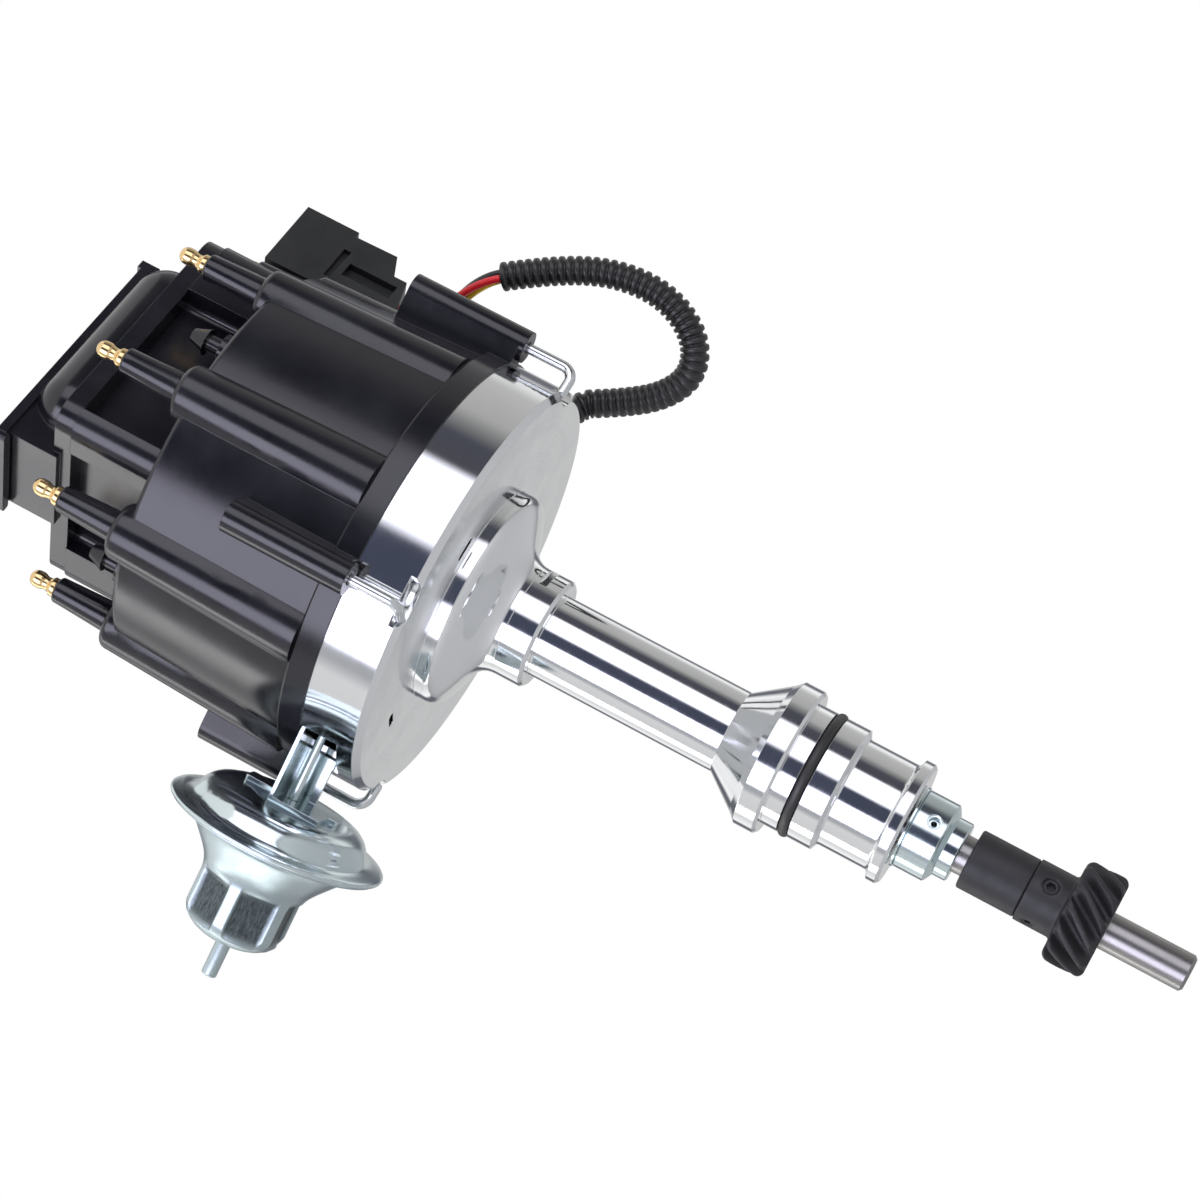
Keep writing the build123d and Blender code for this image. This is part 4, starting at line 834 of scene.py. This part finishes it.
@dataclass
class Castings:
    """Housing, gear and bracket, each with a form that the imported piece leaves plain."""

    shop: Workshop
    plain_radii: tuple[float, float] = (14.0, 34.6)
    plain_levels: tuple[float, float] = (91.0, 107.85)
    flare_sides: int = 192
    flare: Outline = (
        (91.0, 16.0), (91.0, 17.49), (91.03, 17.5), (91.4, 17.52), (92.3, 17.62), (93.5, 17.95),
        (94.8, 18.6), (96.0, 19.6), (97.0, 20.9), (97.8, 22.4), (98.5, 24.2), (99.3, 26.5),
        (100.2, 29.0), (101.1, 31.3), (101.7, 32.5), (102.4, 33.35), (103.3, 34.0),
        (104.3, 34.38), (105.4, 34.5), (108.2, 34.5),
    )
    voxel: float = 0.4
    smooth_share: float = 0.5
    smooth_rounds: int = 7
    gear_ends: tuple[float, float] = (-102.4, -89.05)
    tooth_tip_r: float = 15.95
    tooth_round: float = 2.4
    foot_x: float = -75.9
    foot_shift: float = 3.6

    def build(self) -> None:
        """Builds the three pieces."""
        self.build_housing()
        self.build_gear()
        self.build_bracket()

    def packed(self, node: str) -> bmesh.types.BMesh:
        """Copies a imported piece, with its loose triangles merged and its shading kept.

        Args:
            node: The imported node.

        Returns:
            The mesh, in metres, with the shading in the layer kept_normal.
        """
        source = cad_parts[node].data
        shape = bmesh.new()
        shape.from_mesh(source)
        kept = shape.loops.layers.float_vector.new("kept_normal")
        for face in shape.faces:
            start = source.polygons[face.index].loop_start
            for number, loop in enumerate(face.loops):
                loop[kept] = source.corner_normals[start + number].vector
        bmesh.ops.remove_doubles(shape, verts=shape.verts, dist=PACKED_MERGE)
        return shape

    def build_housing(self) -> None:
        """Gives the housing a hollow flare from its neck out to a disc with a round edge."""
        shape = self.packed("housing")
        inner, outer = self.plain_radii
        low, high = self.plain_levels
        whole = shape.verts[:] + shape.edges[:] + shape.faces[:]
        bmesh.ops.bisect_plane(shape, geom=whole, plane_co=mm(0, 0, low), plane_no=(0, 0, 1))
        plain = []
        for face in shape.faces:
            middle = face.calc_center_median() / MM
            if inner < middle.xy.length < outer and low < middle.z < high:
                plain.append(face)
        bmesh.ops.delete(shape, geom=plain, context="FACES")
        add_shape(shape, turned(self.flare, self.flare_sides))
        self.shop.piece("flared_housing", shape, "polished_aluminium", Body.HOUSING, "housing")

    def build_gear(self) -> None:
        """Softens the gear's edges and rounds the ends of its teeth."""
        shape = self.packed("drive_gear")
        piece = self.shop.piece("blunt_gear", shape, "black_steel", Body.SHAFT, "drive_gear")
        remesh = piece.modifiers.new("Skin", "REMESH")
        remesh.mode = "VOXEL"
        remesh.voxel_size = self.voxel * MM
        remesh.use_smooth_shade = True
        smooth = piece.modifiers.new("Blunt", "SMOOTH")
        smooth.factor = self.smooth_share
        smooth.iterations = self.smooth_rounds
        bpy.context.view_layer.update()
        rounded = evaluated_mesh(piece)
        piece.modifiers.clear()
        piece.data = rounded
        self.round_teeth(rounded)
        self.shop.paint.dress(piece, "black_steel")

    def round_teeth(self, gear: bpy.types.Mesh) -> None:
        """Draws the teeth in where they reach past a rounded rim.

        Args:
            gear: The gear's mesh.
        """
        low, high = self.gear_ends
        for vertex in gear.vertices:
            along = vertex.co.z / MM
            if low <= along <= high:
                inside = max(self.tooth_round - min(along - low, high - along), 0.0)
                limit = self.tooth_tip_r - self.tooth_round
                limit += (self.tooth_round ** 2 - inside ** 2) ** 0.5
                share = min(1.0, limit * MM / max(vertex.co.xy.length, MERGE))
                vertex.co.x *= share
                vertex.co.y *= share

    def build_bracket(self) -> None:
        """Moves the bracket's foot onto the canister's raised face."""
        shape = self.packed("vacuum_bracket")
        for vertex in shape.verts:
            if vertex.co.x < self.foot_x * MM:
                vertex.co.x += self.foot_shift * MM
        self.shop.piece("folded_bracket", shape, "zinc_plate", Body.HOUSING, "vacuum_bracket")


@dataclass(frozen=True)
class Lamp:
    """A large soft lamp; its place and size are in metres and its power in watts."""

    name: str
    place: Point
    size: float
    power: float


@dataclass
class Studio:
    """Camera, floor, lamps and the ring of panels that the polished metal mirrors."""

    camera_place: Point = (165.3, -983.6, -104.9)
    look_azimuth: float = 8.6
    look_up: float = 10.12
    roll: float = 62.27
    lens: float = 102.6
    sensor: float = 36.0
    clip: tuple[float, float] = (0.05, 50.0)
    fill_colour: Colour = (0.96, 0.98, 1.0)
    fill_strength: float = 0.45
    floor_z: float = -0.46
    floor_half: float = 6.0
    floor_colours: tuple[Colour, Colour] = ((0.93, 0.93, 0.93), (0.58, 0.58, 0.59))
    floor_roughness: float = 0.9
    floor_glow: float = 0.7
    ring_r: float = 2.4
    ring_height: float = 3.6
    ring_middle: float = 0.45
    ring_sides: int = 96
    panels: tuple[tuple[float, float, float, float], ...] = (
        (-180, 0.70, 0.70, 0.70), (-152, 0.76, 0.76, 0.77), (-144, 0.42, 0.43, 0.45),
        (-137, 0.42, 0.43, 0.45), (-134, 3.9, 3.85, 4.7), (-105, 3.9, 3.85, 4.7),
        (-98, 0.06, 0.068, 0.105), (-72, 0.06, 0.068, 0.105), (-65, 1.9, 1.9, 2.1),
        (-32, 1.9, 1.9, 2.1), (-26, 0.07, 0.07, 0.085), (-9, 0.075, 0.078, 0.10),
        (0, 0.25, 0.25, 0.25), (9, 0.45, 0.45, 0.44), (40, 0.55, 0.55, 0.54), (58, 1.1, 1.1, 1.1),
        (68, 0.16, 0.165, 0.19), (78, 0.16, 0.165, 0.19), (84, 0.6, 0.6, 0.6),
        (112, 0.6, 0.6, 0.6), (120, 0.14, 0.145, 0.17), (131, 0.14, 0.145, 0.17),
        (137, 1.1, 1.1, 1.1), (160, 0.75, 0.75, 0.75), (180, 0.70, 0.70, 0.70),
    )
    lamp_aim: Point = (0.0, 0.0, 0.08)
    lamps: tuple[Lamp, ...] = (
        Lamp("left_soft_lamp", (-1.2, -1.3, 0.9), 1.4, 20.0),
        Lamp("right_soft_lamp", (1.4, -1.0, 0.5), 1.2, 13.0),
        Lamp("back_soft_lamp", (0.2, 1.6, 0.9), 1.4, 12.0),
    )

    def build(self) -> None:
        """Sets up everything round the object."""
        bpy.context.scene.view_settings.view_transform = "Standard"
        self.build_camera()
        self.build_world()
        self.build_floor()
        self.build_ring()
        for lamp in self.lamps:
            self.build_lamp(lamp)

    def build_camera(self) -> None:
        """Places the camera, looking along its azimuth and elevation and rolled about that line."""
        azimuth, up, roll = radians(self.look_azimuth), radians(self.look_up), radians(self.roll)
        ahead = Vector((-sin(azimuth) * cos(up), cos(azimuth) * cos(up), sin(up)))
        level = ahead.cross(Vector((0.0, 0.0, 1.0))).normalized()
        down = ahead.cross(level)
        right = level * cos(roll) + down * sin(roll)
        below = down * cos(roll) - level * sin(roll)
        data = bpy.data.cameras.new("photo_view")
        data.lens = self.lens
        data.sensor_width = self.sensor
        data.clip_start, data.clip_end = self.clip
        camera = bpy.data.objects.new("photo_view", data)
        bpy.context.scene.collection.objects.link(camera)
        facing = Matrix((right, -below, -ahead)).transposed().to_4x4()
        camera.matrix_world = Matrix.Translation(mm(*self.camera_place)) @ facing
        bpy.context.scene.camera = camera

    def build_world(self) -> None:
        """A soft grey fill, white where the camera or a mirror sees it."""
        world = bpy.data.worlds.new("studio")
        world.use_nodes = True
        tree = world.node_tree
        tree.nodes.clear()
        rays = tree.nodes.new("ShaderNodeLightPath")
        seen = rays.outputs["Is Camera Ray"]
        for kind in ("Is Glossy Ray", "Is Transmission Ray"):
            either = tree.nodes.new("ShaderNodeMath")
            either.operation = "MAXIMUM"
            tree.links.new(seen, either.inputs[0])
            tree.links.new(rays.outputs[kind], either.inputs[1])
            seen = either.outputs[0]
        mix = tree.nodes.new("ShaderNodeMixShader")
        tree.links.new(seen, mix.inputs[0])
        lights = ((self.fill_colour, self.fill_strength), ((1.0, 1.0, 1.0), 1.0))
        for number, (colour, strength) in enumerate(lights, 1):
            light = tree.nodes.new("ShaderNodeBackground")
            light.inputs["Color"].default_value = (*colour, 1.0)
            light.inputs["Strength"].default_value = strength
            tree.links.new(light.outputs[0], mix.inputs[number])
        output = tree.nodes.new("ShaderNodeOutputWorld")
        tree.links.new(mix.outputs[0], output.inputs["Surface"])
        bpy.context.scene.world = world

    def stage_piece(
        self, name: str, shape: bmesh.types.BMesh, material: bpy.types.Material
    ) -> bpy.types.Object:
        """Links a piece of the set, which isn't part of the object.

        Args:
            name: The piece's name.
            shape: Its mesh, in metres.
            material: What it is made of.

        Returns:
            The new object.
        """
        data = bpy.data.meshes.new(name)
        shape.to_mesh(data)
        shape.free()
        data.materials.append(material)
        obj = bpy.data.objects.new(name, data)
        bpy.context.scene.collection.objects.link(obj)
        return obj

    def build_floor(self) -> None:
        """A pale floor well below the shaft's end, white to the camera and darker in mirrors."""
        shape = bmesh.new()
        level = Matrix.Translation((0.0, 0.0, self.floor_z))
        bmesh.ops.create_grid(shape, x_segments=1, y_segments=1, size=self.floor_half, matrix=level)
        sheet = NodeSheet("pale_floor")
        rays = sheet.put("ShaderNodeLightPath").outputs
        sheet.set(
            Base_Color=sheet.blend(rays["Is Glossy Ray"], *self.floor_colours),
            Roughness=self.floor_roughness,
            Emission_Color=(1.0, 1.0, 1.0, 1.0),
            Emission_Strength=sheet.math("MULTIPLY", rays["Is Camera Ray"], self.floor_glow),
        )
        self.stage_piece("floor", shape, sheet.material)

    def build_ring(self) -> None:
        """A ring of light and dark panels that only reflections see.

        Each panel is a bearing in degrees, from -180 to 180, with its red, green and blue light.
        """
        shape = bmesh.new()
        middle = Matrix.Translation((0.0, 0.0, self.ring_middle))
        bmesh.ops.create_cone(shape, cap_ends=False, segments=self.ring_sides, radius1=self.ring_r,
                              radius2=self.ring_r, depth=self.ring_height, matrix=middle)
        sheet = NodeSheet("panels")
        sheet.tree.nodes.remove(sheet.shader)
        parts = sheet.put("ShaderNodeSeparateXYZ", {0: sheet.place()}).outputs
        bearing = sheet.math("ARCTAN2", parts[1], parts[0])
        turn = sheet.math("ADD", sheet.math("DIVIDE", bearing, tau), 0.5)
        bands = sheet.put("ShaderNodeValToRGB", {0: turn})
        stops = bands.color_ramp.elements
        peak = max(max(light) for _, *light in self.panels)
        for number, (angle, *light) in enumerate(self.panels):
            position = (angle + 180.0) / 360.0
            stop = stops.new(position) if number else stops[0]
            stop.position = position
            stop.color = (*[part / peak for part in light], 1.0)
        stops.remove(stops[-1])
        joins = {"Color": bands.outputs["Color"], "Strength": peak}
        glow = sheet.put("ShaderNodeEmission", joins).outputs[0]
        sheet.tree.links.new(glow, sheet.output.inputs["Surface"])
        ring = self.stage_piece("panel_ring", shape, sheet.material)
        ring.visible_camera = False
        ring.visible_diffuse = False
        ring.visible_shadow = False
        ring.visible_transmission = False

    def build_lamp(self, lamp: Lamp) -> None:
        """Hangs one lamp, out of the camera's and the mirrors' sight.

        Args:
            lamp: The lamp.
        """
        place = Vector(lamp.place)
        data = bpy.data.lights.new(lamp.name, "AREA")
        data.shape = "SQUARE"
        data.size = lamp.size
        data.energy = lamp.power
        obj = bpy.data.objects.new(lamp.name, data)
        bpy.context.scene.collection.objects.link(obj)
        aim = (Vector(self.lamp_aim) - place).to_track_quat("-Z", "Y")
        obj.matrix_world = Matrix.Translation(place) @ aim.to_matrix().to_4x4()
        obj.visible_glossy = False
        obj.visible_camera = False


def main() -> None:
    """Builds the sub-assemblies in order."""
    logging.basicConfig(level=logging.INFO, format="%(name)s: %(message)s")
    Studio().build()
    paint = PaintShop.open()
    paint.dress_nodes()
    shop = Workshop(paint)
    Harness(shop).build()
    Terminals(shop).build()
    Canister(shop).build()
    Springs(shop).build()
    Castings(shop).build()


if __name__ == "__main__":
    main()
